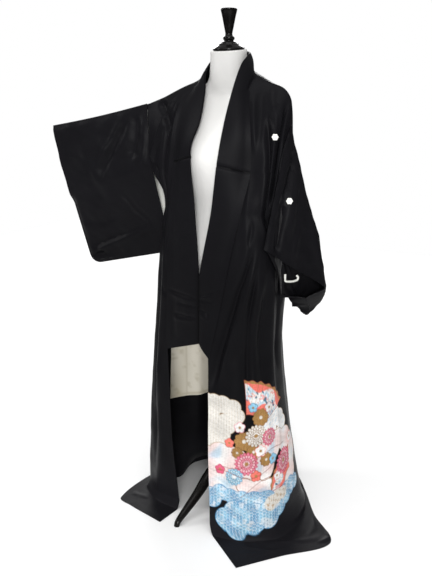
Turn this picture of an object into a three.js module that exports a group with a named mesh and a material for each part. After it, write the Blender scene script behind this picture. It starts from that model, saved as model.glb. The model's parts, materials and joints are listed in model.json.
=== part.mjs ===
// Kurotomesode kimono on a limbless dress form. Millimetres, +Z up, front towards -Y, wearer's left at +X.
import * as THREE from 'three';
import { mergeVertices } from 'three/addons/utils/BufferGeometryUtils.js';

// ---- driving sizes ----
const CLOTH = 1.6; // wall of body and sleeves, silk with its lining
const COLLAR_CLOTH = 2.4; // the collar is a doubled strip
const OVER_COLLAR_CLOTH = 1.2;
const OVER_COLLAR_RISE = 1.3; // over-collar's inner face over the collar's outer face
const OVER_COLLAR_TRIM = 2.6; // over-collar's edge inside the collar's edge
const LINING_CLOTH = 1.0;
const SEAM_GAP = 0.6; // clear distance between neighbouring pieces at a seam
const COLLAR_BOW = 5; // how far the collar rounds out between seam and free edge
const NECK_SLOPE = 0.12; // rise of the neck's cut from front to back
const ARMHOLE_CLEAR = 2.4; // sleeve's edge outside the body's at the armhole
const FORM_CLEARANCE = 1.5; // cloth's middle surface to the dress form
const FLOOR_LIFT = CLOTH / 2; // cloth's middle surface over the floor
const SLEEVE_DEPTH = 490; // fold to bottom
const CUFF_OPENING = 230; // open length of the cuff, also the sewn length of the armhole
const UNDERARM = 1060; // height below which front and back join
const SIDE_SEAM_TOP = 1000;
const OVERLAP_TOP = 1180; // height of the overlap panel's point
const COLLAR_END = 600;
const OVER_COLLAR_END = { left: 1190, right: 1212 };
const LINING_TOP = 760;
const FACING_TOP = 340; // top of the black facing inside the hem
const BEND_TOP = 30; // where the hanging cloth starts to turn onto the floor
const LEG_ANGLES = [-108, 12, 132]; // degrees from +X
const LEG_CLEAR = 17; // cloth's way over and beyond a leg's middle line
const TENT_RIDGE = 18; // half width of the cloth's ridge over a leg
const TENT_HALF = 92; // half width of the whole tent
const POLE_RADIUS = 12;
const HUB = { bottom: 152, top: 232, radius: 21 };

// Which cells of a sleeve's far layer carry the white lining that shows.
const LINING_SHOWN = {
  left: { face: 'Front', alongFrom: 0.57, alongTo: 0.86, downFrom: 70, downTo: 230 },
  right: { face: 'Back', alongFrom: 0, alongTo: 0.86, downFrom: 20, downTo: 430 },
};

const FINISH = {
  silk: { color: 0x1c1b20, roughness: 0.72, metalness: 0 },
  whiteSilk: { color: 0xe6e4da, roughness: 0.6, metalness: 0 },
  formJersey: { color: 0xf3f1ee, roughness: 0.85, metalness: 0 },
  gloss: { color: 0x161514, roughness: 0.25, metalness: 0 },
  steel: { color: 0x3a3a3c, roughness: 0.4, metalness: 0.8 },
};

// ---- tables ----
// Dress form, bottom to top: half width, half depth and forward shift of each section.
const FORM_SECTIONS = [
  { z: 780, wide: 150, deep: 104, shift: 4 },
  { z: 850, wide: 162, deep: 114, shift: 4 },
  { z: 920, wide: 157, deep: 108, shift: 2 },
  { z: 1000, wide: 132, deep: 92, shift: 0 },
  { z: 1065, wide: 124, deep: 88, shift: -2 },
  { z: 1140, wide: 140, deep: 98, shift: -8 },
  { z: 1210, wide: 157, deep: 106, shift: -12 },
  { z: 1270, wide: 158, deep: 98, shift: -8 },
  { z: 1325, wide: 162, deep: 80, shift: -2 },
  { z: 1362, wide: 172, deep: 64, shift: 2 },
  { z: 1388.5, wide: 172, deep: 52, shift: 4 },
  { z: 1404.5, wide: 156, deep: 46, shift: 5 },
  { z: 1418.5, wide: 118, deep: 46, shift: 5 },
  { z: 1432.5, wide: 82, deep: 48, shift: 4 },
  { z: 1450, wide: 63, deep: 51, shift: 3 },
  { z: 1485, wide: 55, deep: 53, shift: 1 },
  { z: 1534, wide: 53, deep: 53, shift: 0 },
];

// Turned neck cap and finial, base to tip.
const FINIAL_PROFILE = [
  { z: 0, radius: 47 },
  { z: 5, radius: 47.5 },
  { z: 9, radius: 41 },
  { z: 15, radius: 31 },
  { z: 19, radius: 25 },
  { z: 23, radius: 21 },
  { z: 25, radius: 14.5 },
  { z: 31, radius: 16.5 },
  { z: 36, radius: 15.5 },
  { z: 41, radius: 11.5 },
  { z: 48, radius: 11 },
  { z: 72, radius: 15.5 },
  { z: 98, radius: 21 },
  { z: 112, radius: 24 },
  { z: 116, radius: 22 },
];

const LEG_SECTIONS = [
  { reach: 30.5, z: 182, radius: 13 },
  { reach: 62, z: 152, radius: 18 },
  { reach: 100, z: 118, radius: 19 },
  { reach: 140, z: 82, radius: 17 },
  { reach: 187, z: 47, radius: 14 },
  { reach: 226, z: 19, radius: 11 },
  { reach: 236, z: 9, radius: 10 },
  { reach: 238, z: 0, radius: 10 },
];

// Collar, from the back of the neck down each front: where it is sewn on, and its free edge.
const COLLAR_LEFT = [
  { place: 'back neck', seam: [0, 76, 1478], free: [0, 64, 1532] },
  { place: 'neck corner', seam: [48, 54, 1479], free: [43, 47, 1531] },
  { place: 'neck side', seam: [76, 15, 1468], free: [61, 4, 1518] },
  { place: 'shoulder', seam: [89, -8, 1454], free: [61, -37, 1494] },
  { place: 'collar bone', seam: [89, -50, 1408], free: [55, -76, 1432] },
  { place: 'upper chest', seam: [110, -85, 1307], free: [43, -114, 1325] },
  { place: 'over-collar end', seam: [117, -95, 1191], free: [33, -140, 1212] },
  { place: 'under the bust', seam: [101, -120, 1078], free: [16, -147, 1060] },
  { place: 'meeting point', seam: [72, -140, 911], free: [-18, -152, 874] },
  { place: 'below the pin', seam: [40, -149, 740], free: [-18, -156, 750] },
  { place: 'end', seam: [8, -150, 600], free: [-18, -156, 645] },
];
const COLLAR_RIGHT = [
  { place: 'back neck', seam: [0, 76, 1478], free: [0, 64, 1532] },
  { place: 'neck corner', seam: [-48, 54, 1479], free: [-44, 46, 1529] },
  { place: 'neck side', seam: [-74, 15, 1468], free: [-61, 4, 1503] },
  { place: 'shoulder', seam: [-86, -8, 1452], free: [-56, -40, 1470] },
  { place: 'collar bone', seam: [-116, -42, 1395], free: [-36, -84, 1412] },
  { place: 'upper chest', seam: [-131, -72, 1325], free: [-38, -110, 1330] },
  { place: 'over-collar end', seam: [-133, -95, 1227], free: [-62, -127, 1247] },
  { place: 'under the bust', seam: [-141, -112, 1080], free: [-42, -143, 1090] },
  { place: 'meeting point', seam: [-145, -130, 880], free: [-24, -152, 873] },
  { place: 'below the pin', seam: [-147, -136, 740], free: [-24, -156, 750] },
  { place: 'end', seam: [-149, -140, 600], free: [-24, -156, 645] },
];

// Plan of the hanging cloth at each height: front edge, overlap seam, front, side, back and centre back.
const RINGS_LEFT = [
  { z: 1060, over: [122, -113], front: [168, -98], side: [190, -84], back: [150, 96], centre: [0, 113] },
  { z: 1000, over: [130, -119], front: [178, -86], side: [194, -8], back: [150, 100], centre: [0, 116] },
  { z: 880, over: [136, -126], front: [184, -66], side: [192, 20], back: [142, 110], centre: [-6, 128] },
  { z: 740, over: [130, -124], front: [182, -57], side: [184, 28], back: [130, 116], centre: [-15, 136] },
  { z: 600, over: [124, -122], front: [181, -55], side: [181, 30], back: [122, 122], centre: [-24, 144] },
  { z: 300, over: [150, -158], front: [214, -84], side: [216, 48], back: [132, 160], centre: [-34, 168] },
  { z: 140, over: [160, -176], front: [232, -100], side: [240, 58], back: [142, 176], centre: [-32, 178] },
  { z: 30, over: [165, -190], front: [248, -115], side: [264, 66], back: [152, 188], centre: [-30, 186] },
];
const RINGS_RIGHT = [
  { z: 1060, over: [-156, -103], front: [-186, -76], side: [-206, -36], back: [-150, 95], centre: [0, 113] },
  { z: 1000, over: [-168, -102], front: [-206, -66], side: [-212, -5], back: [-150, 98], centre: [0, 116] },
  { z: 880, over: [-178, -118], front: [-216, -62], side: [-206, 22], back: [-140, 106], centre: [-6, 128] },
  { z: 740, over: [-188, -126], front: [-222, -68], side: [-200, 38], back: [-130, 110], centre: [-15, 136] },
  { z: 600, over: [-200, -132], front: [-234, -74], side: [-194, 50], back: [-126, 114], centre: [-24, 144] },
  { z: 300, over: [-214, -130], front: [-262, -72], side: [-192, 50], back: [-124, 116], centre: [-34, 168] },
  { z: 140, over: [-220, -124], front: [-280, -62], side: [-192, 48], back: [-126, 108], centre: [-32, 178] },
  { z: 30, over: [-224, -120], front: [-290, -50], side: [-192, 46], back: [-128, 104], centre: [-30, 186] },
];
// Back half of the underarm ring, where the side is open.
const OPEN_SIDE = { left: [205, 45], right: [-208, 32] };
// Free front edge below the collar.
const EDGE_LEFT = [
  { z: 600, x: 8, y: -150 },
  { z: 300, x: 26, y: -184 },
  { z: 140, x: 36, y: -196 },
  { z: 30, x: 42, y: -205 },
];
const EDGE_RIGHT = [
  { z: 600, x: -149, y: -140 },
  { z: 300, x: -142, y: -137 },
  { z: 140, x: -130, y: -135 },
  { z: 30, x: -118, y: -136 },
];
// Where the hem lies on the floor.
const HEM_LEFT = {
  edge: [197, -321],
  over: [296, -208],
  front: [416, -70],
  side: [318, 50],
  back: [150, 285],
  centre: [-30, 372],
};
const HEM_RIGHT = {
  edge: [-135, -237],
  over: [-281, -204],
  front: [-338, -182],
  side: [-322, 4],
  back: [-225, 275],
  centre: [-30, 372],
};

const SHOULDER_LEFT = [
  [89, -8, 1454],
  [138, 4, 1438],
  [180, 5, 1422],
  [204, 0, 1388],
  [212, -18, 1318],
];
const SHOULDER_RIGHT = [
  [-86, -8, 1452],
  [-130, 4, 1438],
  [-175, 5, 1424],
  [-235, 2, 1396],
  [-298, 0, 1378],
];
// Armhole edges from the top down to the underarm, with the part of the way down.
const ARMHOLE = {
  leftFront: [
    { way: 0, at: [212, -18, 1318] },
    { way: 0.4, at: [204, -62, 1232] },
    { way: 0.9, at: [197, -88, 1098] },
    { way: 1, at: [190, -84, 1060] },
  ],
  leftBack: [
    { way: 0, at: [212, -18, 1318] },
    { way: 0.4, at: [212, 30, 1226] },
    { way: 0.9, at: [208, 46, 1098] },
    { way: 1, at: [205, 45, 1060] },
  ],
  rightFront: [
    { way: 0, at: [-298, 0, 1378] },
    { way: 0.3, at: [-283, -20, 1290] },
    { way: 0.65, at: [-265, -32, 1180] },
    { way: 0.9, at: [-206, -48, 1098] },
    { way: 1, at: [-206, -36, 1060] },
  ],
  rightBack: [
    { way: 0, at: [-298, 0, 1378] },
    { way: 0.3, at: [-284, 22, 1290] },
    { way: 0.65, at: [-268, 30, 1184] },
    { way: 0.9, at: [-214, 34, 1098] },
    { way: 1, at: [-208, 32, 1060] },
  ],
};
const SEWN_WAY = { left: 0.9, right: 0.65 };

// Cuff edge of each sleeve from the top fold to the bottom, front and back layer.
const CUFF_LEFT = [
  { down: 0, front: [190, -140, 970], back: [190, -140, 970] },
  { down: 20, front: [198, -124, 956], back: [202, -132, 962] },
  { down: 120, front: [206, -62, 868], back: [252, -62, 905] },
  { down: 230, front: [194, -10, 800], back: [325, 30, 836] },
  { down: 360, front: [214, 70, 745], back: [298, 96, 768] },
  { down: 480, front: [232, 108, 714], back: [248, 116, 716] },
  { down: 490, front: [240, 114, 710], back: [240, 114, 710] },
];
const CUFF_RIGHT = [
  { down: 0, front: [-652, -56, 1304], back: [-652, -56, 1304] },
  { down: 20, front: [-646, -63, 1284], back: [-648, -48, 1284] },
  { down: 120, front: [-626, -62, 1186], back: [-630, -34, 1186] },
  { down: 230, front: [-600, -54, 1076], back: [-602, -28, 1076] },
  { down: 360, front: [-567, -42, 946], back: [-568, -24, 946] },
  { down: 480, front: [-534, -34, 832], back: [-535, -22, 832] },
  { down: 490, front: [-528, -28, 822], back: [-528, -28, 822] },
];
const BAG_BOTTOM = { left: [209, 10, 842], right: [-230, 26, 888] };
// How far each layer bellies out between armhole and cuff.
const BELLY = {
  left: { Front: -14, Back: 34, early: 0.62, lean: [1, 0.1, 0.1], sway: [8, -26, 0] },
  right: { Front: 8, Back: 8, early: 1, lean: [0, 1, 0], sway: [0, 0, -4] },
};

// Soft folds of the hanging cloth, by column (0 edge, 1 overlap seam, 2 front, 3 side, 4 back, 5 centre).
const FOLDS = [
  { side: 'left', fromColumn: 1.5, fromZ: 900, toColumn: 0.25, toZ: 470, wide: 46, out: 10 },
  { side: 'left', fromColumn: 1.05, fromZ: 860, toColumn: 0.05, toZ: 430, wide: 34, out: -7 },
  { side: 'left', fromColumn: 1.6, fromZ: 880, toColumn: 1.3, toZ: 60, wide: 44, out: -8 },
  { side: 'left', fromColumn: 2.5, fromZ: 700, toColumn: 2.6, toZ: 30, wide: 52, out: -9 },
  { side: 'left', fromColumn: 3.5, fromZ: 980, toColumn: 3.6, toZ: 30, wide: 60, out: 12 },
  { side: 'left', fromColumn: 4.4, fromZ: 900, toColumn: 4.5, toZ: 30, wide: 60, out: -12 },
  { side: 'right', fromColumn: 4.4, fromZ: 940, toColumn: 4.5, toZ: 30, wide: 60, out: 12 },
  { side: 'right', fromColumn: 1.5, fromZ: 800, toColumn: 1.4, toZ: 30, wide: 46, out: -8 },
  { side: 'right', fromColumn: 2.5, fromZ: 900, toColumn: 2.4, toZ: 30, wide: 56, out: 8 },
];

// ---- curves ----
const mix = (a, b, t) => a.map((value, i) => value + (b[i] - value) * t);
const distance = (a, b) => Math.hypot(...a.map((value, i) => value - b[i]));

/** Smooth curve through rows of numbers placed at rising knots. */
function curve(rows, knots, at) {
  const last = rows.length - 1;
  let k = 0;
  while (k < last - 1 && at > knots[k + 1]) {
    k += 1;
  }
  const span = knots[k + 1] - knots[k];
  const t = Math.min(1, Math.max(0, (at - knots[k]) / span));
  const slope = (i, axis) => {
    const before = Math.max(0, i - 1);
    const after = Math.min(last, i + 1);
    return (rows[after][axis] - rows[before][axis]) / (knots[after] - knots[before]);
  };
  return rows[k].map((value, axis) => {
    const next = rows[k + 1][axis];
    const m0 = slope(k, axis) * span;
    const m1 = slope(k + 1, axis) * span;
    const t2 = t * t;
    const t3 = t2 * t;
    const rise = 3 * t2 - 2 * t3;
    return value * (1 - rise) + m0 * (t3 - 2 * t2 + t) + next * rise + m1 * (t3 - t2);
  });
}

/** Running length along a row of points. */
function lengths(points) {
  const run = [0];
  for (let i = 1; i < points.length; i += 1) {
    run.push(run[i - 1] + distance(points[i], points[i - 1]));
  }
  return run;
}

const rises = (table, key) => table.map((row) => -row[key]);
const byHeight = (table, key, z) => curve(table.map((row) => row[key]), rises(table, 'z'), -z);

// ---- dress form ----
function formSection(z) {
  const rows = FORM_SECTIONS.map((row) => [row.wide, row.deep, row.shift]);
  return curve(rows, FORM_SECTIONS.map((row) => row.z), z);
}

const ROUNDNESS = 2.3;
const FORM_TOP = FORM_SECTIONS[FORM_SECTIONS.length - 1].z;

/** The neck is cut off at a slope, lower at the front. */
const neckSlope = (y, z) => y * NECK_SLOPE * Math.max(0, (z - 1485) / (FORM_TOP - 1485));

/** Below 1 inside the dress form, above 1 outside. */
function formReach(x, y, z) {
  if (z < FORM_SECTIONS[0].z || z > FORM_TOP + 26) {
    return 9;
  }
  const [wide, deep, shift] = formSection(Math.min(z, FORM_TOP));
  const across = Math.abs(x / wide) ** ROUNDNESS;
  const along = Math.abs((y - shift) / deep) ** ROUNDNESS;
  return (across + along) ** (1 / ROUNDNESS);
}

/** Moves a point out until it clears the form. */
function clearOfForm(point) {
  let [x, y, z] = point;
  for (let step = 0; step < 60; step += 1) {
    const here = formReach(x, y, z);
    const slope = [
      formReach(x + 1, y, z) - formReach(x - 1, y, z),
      formReach(x, y + 1, z) - formReach(x, y - 1, z),
      formReach(x, y, z + 1) - formReach(x, y, z - 1),
    ];
    const steep = Math.hypot(...slope) / 2;
    if (here > 8 || steep < 1e-6 || (here - 1) / steep >= FORM_CLEARANCE) {
      return [x, y, z];
    }
    const move = Math.min(3, FORM_CLEARANCE - (here - 1) / steep + 0.05) / (2 * steep);
    x += slope[0] * move;
    y += slope[1] * move;
    z += slope[2] * move;
  }
  return [x, y, z];
}

// ---- stand ----
function legReach(z) {
  const rows = [...LEG_SECTIONS].reverse();
  return curve(rows.map((row) => [row.reach]), rows.map((row, i) => row.z + i * 0.01), z)[0];
}

/** Tents the cloth over the legs that reach further than it; the front leg stands in the opening. */
function clearOfLegs(point) {
  let [x, y] = point;
  const z = point[2];
  const needed = legReach(Math.max(0, z - LEG_CLEAR)) + LEG_CLEAR;
  for (const angle of LEG_ANGLES.slice(1).map(THREE.MathUtils.degToRad)) {
    const way = [Math.cos(angle), Math.sin(angle)];
    const out = x * way[0] + y * way[1];
    const aside = Math.abs(-x * way[1] + y * way[0]);
    const near = Math.min(1, Math.max(0, (TENT_HALF - aside) / (TENT_HALF - TENT_RIDGE)));
    const push = Math.max(0, needed - out) * near * near * (3 - 2 * near);
    if (out > 60) {
      x += way[0] * push;
      y += way[1] * push;
    }
  }
  return [x, y, z];
}

// ---- cloth surfaces ----
const COLUMNS = [3, 4, 4, 4, 4]; // cells between neighbouring plan stations
const HANGING = [1060, 1000, 940, 880, 815, 760, 690, 645, 600, 530, 460, 400, 340, 270, 200, 140, 85, 30];
const FLOOR_WAYS = [0.035, 0.09, 0.2, 0.45, 0.72, 1];
const SHOULDER_WAYS = [0, 0.06, 0.14, 0.26, 0.4, 0.55, 0.65, 0.78, 0.9, 1];
const NECK_WAY = 0.26; // part of the way down the back at which the neck curve ends
const POINT_WAY = 0.65; // part of the way down the front at which the overlap panel begins

const SIDES = {
  left: {
    rings: RINGS_LEFT,
    edge: EDGE_LEFT,
    hem: HEM_LEFT,
    collar: COLLAR_LEFT,
    shoulder: SHOULDER_LEFT,
    cuff: CUFF_LEFT,
  },
  right: {
    rings: RINGS_RIGHT,
    edge: EDGE_RIGHT,
    hem: HEM_RIGHT,
    collar: COLLAR_RIGHT,
    shoulder: SHOULDER_RIGHT,
    cuff: CUFF_RIGHT,
  },
};

const collarKnots = (side) => lengths(SIDES[side].collar.map((row) => row.seam));

/** Collar seam and free edge at a length along the seam from the back of the neck. */
function collarAt(side, run) {
  const { collar } = SIDES[side];
  const knots = collarKnots(side);
  return {
    seam: curve(collar.map((row) => row.seam), knots, run),
    free: curve(collar.map((row) => row.free), knots, run),
  };
}

/** Length along the collar seam at which it passes a height. */
function collarRun(side, z) {
  const knots = collarKnots(side);
  let low = knots[3];
  let high = knots[knots.length - 1];
  for (let step = 0; step < 40; step += 1) {
    const middle = (low + high) / 2;
    if (collarAt(side, middle).seam[2] > z) {
      low = middle;
    } else {
      high = middle;
    }
  }
  return (low + high) / 2;
}

/** Front edge of the hanging cloth: the collar's seam, then the free edge below it. */
function frontEdge(side, z) {
  if (z >= COLLAR_END) {
    return collarAt(side, collarRun(side, z)).seam.slice(0, 2);
  }
  const table = SIDES[side].edge;
  return curve(table.map((row) => [row.x, row.y]), rises(table, 'z'), -z);
}

/** Plan of one half of the garment at a height, as its six stations. */
function stations(side, z, openBack) {
  const { rings } = SIDES[side];
  const names = ['over', 'front', 'side', 'back', 'centre'];
  const found = [frontEdge(side, z), ...names.map((name) => byHeight(rings, name, z))];
  if (openBack && z > SIDE_SEAM_TOP) {
    const open = (z - SIDE_SEAM_TOP) / (UNDERARM - SIDE_SEAM_TOP);
    found[3] = mix(found[3], OPEN_SIDE[side], open);
  }
  return found;
}

function onStations(points, column) {
  const run = lengths(points);
  const whole = Math.min(4, Math.floor(column));
  return curve(points, run, run[whole] + (run[whole + 1] - run[whole]) * (column - whole));
}

/** How far the folds push the cloth out at a column and height. */
function foldOut(side, column, z) {
  let total = 0;
  for (const fold of FOLDS.filter((row) => row.side === side)) {
    const way = (fold.fromZ - z) / (fold.fromZ - fold.toZ);
    const centre = fold.fromColumn + (fold.toColumn - fold.fromColumn) * Math.min(1.15, Math.max(-0.15, way));
    const fade = Math.min(1, Math.max(0, Math.min((way + 0.15) / 0.35, (1.15 - way) / 0.2)));
    const aside = ((column - centre) * 90) / fold.wide;
    total += fold.out * fade * Math.exp(-aside * aside);
  }
  return total;
}

function hanging(side, column, z, openBack) {
  const points = stations(side, z, openBack);
  const here = onStations(points, column);
  const before = onStations(points, Math.max(0, column - 0.05));
  const after = onStations(points, Math.min(5, column + 0.05));
  const turn = side === 'left' ? 1 : -1;
  const along = distance(before, after);
  const outward = [(-turn * (after[1] - before[1])) / -along, (turn * (after[0] - before[0])) / -along];
  const atSeam = column < 0.01 && z > COLLAR_END;
  const push = atSeam || column > 4.99 ? 0 : foldOut(side, column, z);
  return clearOfLegs(clearOfForm([here[0] + outward[0] * push, here[1] + outward[1] * push, z]));
}

/** Cloth on the floor, from the bend out to the hem. */
function onFloor(side, column, way) {
  const from = hanging(side, column, BEND_TOP, false);
  const names = ['edge', 'over', 'front', 'side', 'back', 'centre'];
  const to = onStations(names.map((name) => SIDES[side].hem[name]), column);
  const plan = mix(from.slice(0, 2), to, way);
  const sink = Math.max(0, 1 - way / 0.14);
  const height = FLOOR_LIFT + (BEND_TOP - FLOOR_LIFT) * sink * sink;
  return clearOfLegs([...plan, height]);
}

/** Upper cloth between the shoulder line and the underarm ring; across runs 0 to 1 from neck to armhole. */
function upper(side, face, across, way) {
  const shoulderRows = SIDES[side].shoulder;
  const shoulderAt = (u) => {
    const run = lengths(shoulderRows);
    return curve(shoulderRows, run, run[run.length - 1] * u);
  };
  const front = face === 'front';
  const column = front ? 1 + 2 * across : 5 - 2 * across;
  const ringAt = (u) => hanging(side, front ? 1 + 2 * u : 5 - 2 * u, UNDERARM, !front);
  const base = (u) => {
    const top = shoulderAt(u);
    const low = ringAt(u);
    const ease = Math.sin((Math.PI / 2) * way) ** 0.75;
    const parts = [way, ease, way];
    return top.map((value, axis) => value + (low[axis] - value) * parts[axis]);
  };
  const arm = ARMHOLE[side + (front ? 'Front' : 'Back')];
  const outer = curve(arm.map((row) => row.at), arm.map((row) => row.way), way);
  const inner = front ? innerFront(side, way) : innerBack(side, way, ringAt(0));
  const start = base(0);
  const end = base(1);
  const point = base(across).map((value, axis) => (
    value + (1 - across) * (inner[axis] - start[axis]) + across * (outer[axis] - end[axis])
  ));
  return column === 5 ? point : clearOfForm(point);
}

/** Height of a place on the collar seam beside the overlap's point. */
const overlapHeight = (way) => UNDERARM + ((OVERLAP_TOP - UNDERARM) * (1 - way)) / (1 - POINT_WAY);

function innerFront(side, way) {
  const knots = collarKnots(side);
  if (way >= POINT_WAY) {
    const edge = collarAt(side, collarRun(side, overlapHeight(way))).seam;
    const low = hanging(side, 1, UNDERARM, false);
    const lowEdge = collarAt(side, collarRun(side, UNDERARM)).seam;
    const open = 0.16 + (0.84 * (way - POINT_WAY)) / (1 - POINT_WAY);
    return edge.map((value, axis) => value + (low[axis] - lowEdge[axis]) * open);
  }
  const low = collarRun(side, OVERLAP_TOP);
  return collarAt(side, knots[3] + (low - knots[3]) * (way / POINT_WAY)).seam;
}

function innerBack(side, way, low) {
  const knots = collarKnots(side);
  if (way <= NECK_WAY) {
    return collarAt(side, knots[3] * (1 - way / NECK_WAY)).seam;
  }
  const neck = collarAt(side, 0).seam;
  const t = (way - NECK_WAY) / (1 - NECK_WAY);
  const ease = Math.sin((Math.PI / 2) * t) ** 0.8;
  const parts = [t, ease, t];
  return neck.map((value, axis) => value + (low[axis] - value) * parts[axis]);
}

// ---- quads and walls ----
const columnsBetween = (first, last) => {
  const list = [];
  for (let station = first; station < last; station += 1) {
    for (let i = 0; i < COLUMNS[station]; i += 1) {
      list.push(station + i / COLUMNS[station]);
    }
  }
  return [...list, last];
};

/** Quads of a grid of points; rows run down, columns across. */
function gridQuads(rows) {
  const quads = [];
  for (let r = 0; r + 1 < rows.length; r += 1) {
    for (let c = 0; c + 1 < rows[r].length; c += 1) {
      quads.push([rows[r][c], rows[r][c + 1], rows[r + 1][c + 1], rows[r + 1][c]]);
    }
  }
  return quads;
}

const keyOf = (point) => point.map((value) => Math.round(value * 50)).join(',');

function quadNormal(quad) {
  const across = new THREE.Vector3(...quad[2]).sub(new THREE.Vector3(...quad[0]));
  const down = new THREE.Vector3(...quad[3]).sub(new THREE.Vector3(...quad[1]));
  return across.cross(down);
}

/** Turns a piece so that its faces look away from a point or an upright axis. */
function facingAway(quads, centre) {
  let sum = 0;
  for (const quad of quads) {
    const middle = centre.map((at, axis) => quad.reduce((total, point) => total + point[axis], 0) / 4 - at);
    const normal = quadNormal(quad);
    sum += normal.x * middle[0] + normal.y * middle[1] + normal.z * middle[2];
  }
  return sum >= 0 ? quads : quads.map((quad) => [...quad].reverse());
}

/** Normals shared by all pieces that meet in a point. */
function sharedNormals(quads) {
  const found = new Map();
  for (const quad of quads) {
    const normal = quadNormal(quad);
    for (const point of quad) {
      const key = keyOf(point);
      found.set(key, (found.get(key) ?? new THREE.Vector3()).add(normal));
    }
  }
  found.forEach((normal) => normal.normalize());
  return found;
}

/** Way to step back from each border point so that neighbouring pieces stay apart. */
function borderSteps(quads) {
  const uses = new Map();
  for (const quad of quads) {
    quad.forEach((point, i) => {
      const pair = [keyOf(point), keyOf(quad[(i + 1) % 4])].sort().join('|');
      uses.set(pair, (uses.get(pair) ?? 0) + 1);
    });
  }
  const steps = new Map();
  for (const quad of quads) {
    const normal = quadNormal(quad).normalize();
    quad.forEach((point, i) => {
      const next = quad[(i + 1) % 4];
      if (uses.get([keyOf(point), keyOf(next)].sort().join('|')) === 1 && keyOf(point) !== keyOf(next)) {
        const along = new THREE.Vector3(...next).sub(new THREE.Vector3(...point)).normalize();
        const inward = normal.clone().cross(along);
        for (const end of [point, next]) {
          steps.set(keyOf(end), [...(steps.get(keyOf(end)) ?? []), inward]);
        }
      }
    });
  }
  const found = new Map();
  steps.forEach((list, key) => {
    const total = list.reduce((sum, way) => sum.add(way), new THREE.Vector3());
    const unit = total.clone().normalize();
    const spread = Math.max(0.5, unit.dot(list[0]));
    found.set(key, unit.multiplyScalar(1 / spread));
  });
  return found;
}

/** Closed cloth wall over a piece's quads, moved along its normals by a shift. */
function wall(quads, normals, thickness, shift = 0, trim = SEAM_GAP / 2) {
  const steps = borderSteps(quads);
  const index = new Map();
  const middle = [];
  const ways = [];
  for (const quad of quads) {
    for (const point of quad) {
      const key = keyOf(point);
      if (!index.has(key)) {
        index.set(key, middle.length);
        const way = normals.get(key);
        const at = new THREE.Vector3(...point).addScaledVector(way, shift);
        if (steps.has(key)) {
          at.addScaledVector(steps.get(key), trim);
        }
        middle.push(at);
        ways.push(way);
      }
    }
  }
  const half = thickness / 2;
  const outer = middle.map((at, i) => at.clone().addScaledVector(ways[i], half));
  const inner = middle.map((at, i) => at.clone().addScaledVector(ways[i], -half));
  const points = [...outer, ...inner];
  const under = middle.length;
  const faces = [];
  const edges = new Map();
  for (const quad of quads) {
    const [a, b, c, d] = quad.map((point) => index.get(keyOf(point)));
    const short = distance(quad[0], quad[2]) <= distance(quad[1], quad[3]);
    const pair = short ? [[a, b, c], [a, c, d]] : [[a, b, d], [b, c, d]];
    for (const [p, q, r] of pair.filter(([p0, p1, p2]) => p0 !== p1 && p1 !== p2 && p2 !== p0)) {
      faces.push([p, q, r], [p + under, r + under, q + under]);
    }
    const sides = [[a, b], [b, c], [c, d], [d, a]];
    sides.filter(([p, q]) => p !== q).forEach((edge) => edges.set(edge.join(), edge));
  }
  edges.forEach(([p, q]) => {
    if (!edges.has(`${q},${p}`)) {
      faces.push([p, p + under, q], [q, p + under, q + under]);
    }
  });
  const positions = faces.flatMap((face) => face.flatMap((i) => points[i].toArray()));
  return solidFrom(positions);
}

function solidFrom(positions) {
  const geometry = new THREE.BufferGeometry();
  geometry.setAttribute('position', new THREE.Float32BufferAttribute(positions, 3));
  const merged = mergeVertices(geometry, 1e-3);
  merged.computeVertexNormals();
  return merged;
}

/** Solid through closed rings of equal count, capped flat at both ends. */
function loft(rings) {
  const positions = [];
  const count = rings[0].length;
  const middleOf = (ring) => ring.reduce((sum, p) => sum.map((v, i) => v + p[i] / count), [0, 0, 0]);
  const face = (...points) => points.forEach((point) => positions.push(...point));
  for (let i = 0; i < count; i += 1) {
    const j = (i + 1) % count;
    for (let r = 0; r + 1 < rings.length; r += 1) {
      face(rings[r][i], rings[r][j], rings[r + 1][j]);
      face(rings[r][i], rings[r + 1][j], rings[r + 1][i]);
    }
    face(middleOf(rings[0]), rings[0][j], rings[0][i]);
    const top = rings[rings.length - 1];
    face(middleOf(top), top[i], top[j]);
  }
  return solidFrom(positions);
}

// ---- panels ----
function bodyFront(side) {
  const across = columnsBetween(1, 3);
  const shoulderPoint = (way, column) => upper(side, 'front', (column - 1) / 2, way);
  const above = SHOULDER_WAYS.map((way) => across.map((column) => shoulderPoint(way, column)));
  const below = HANGING.slice(1).map((z) => across.map((column) => hanging(side, column, z, false)));
  const floor = FLOOR_WAYS.map((way) => across.map((column) => onFloor(side, column, way)));
  return gridQuads([...above, ...below, ...floor]);
}

function bodyBack(side) {
  const across = columnsBetween(3, 5).reverse();
  const shoulderPoint = (way, column) => upper(side, 'back', (5 - column) / 2, way);
  const above = SHOULDER_WAYS.map((way) => across.map((column) => shoulderPoint(way, column)));
  const below = HANGING.slice(1).map((z) => across.map((column) => hanging(side, column, z, true)));
  const floor = FLOOR_WAYS.map((way) => across.map((column) => onFloor(side, column, way)));
  return gridQuads([...above, ...below, ...floor].map((row) => [...row].reverse()));
}

function overlap(side) {
  const across = columnsBetween(0, 1);
  const tops = SHOULDER_WAYS.filter((way) => way >= POINT_WAY).map((way) => {
    const edge = collarAt(side, collarRun(side, overlapHeight(way))).seam;
    const seam = upper(side, 'front', 0, way);
    return across.map((column) => mix(edge, seam, column));
  });
  const below = HANGING.slice(1).map((z) => across.map((column) => hanging(side, column, z, false)));
  const floor = FLOOR_WAYS.map((way) => across.map((column) => onFloor(side, column, way)));
  return gridQuads([...tops, ...below, ...floor]);
}

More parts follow.
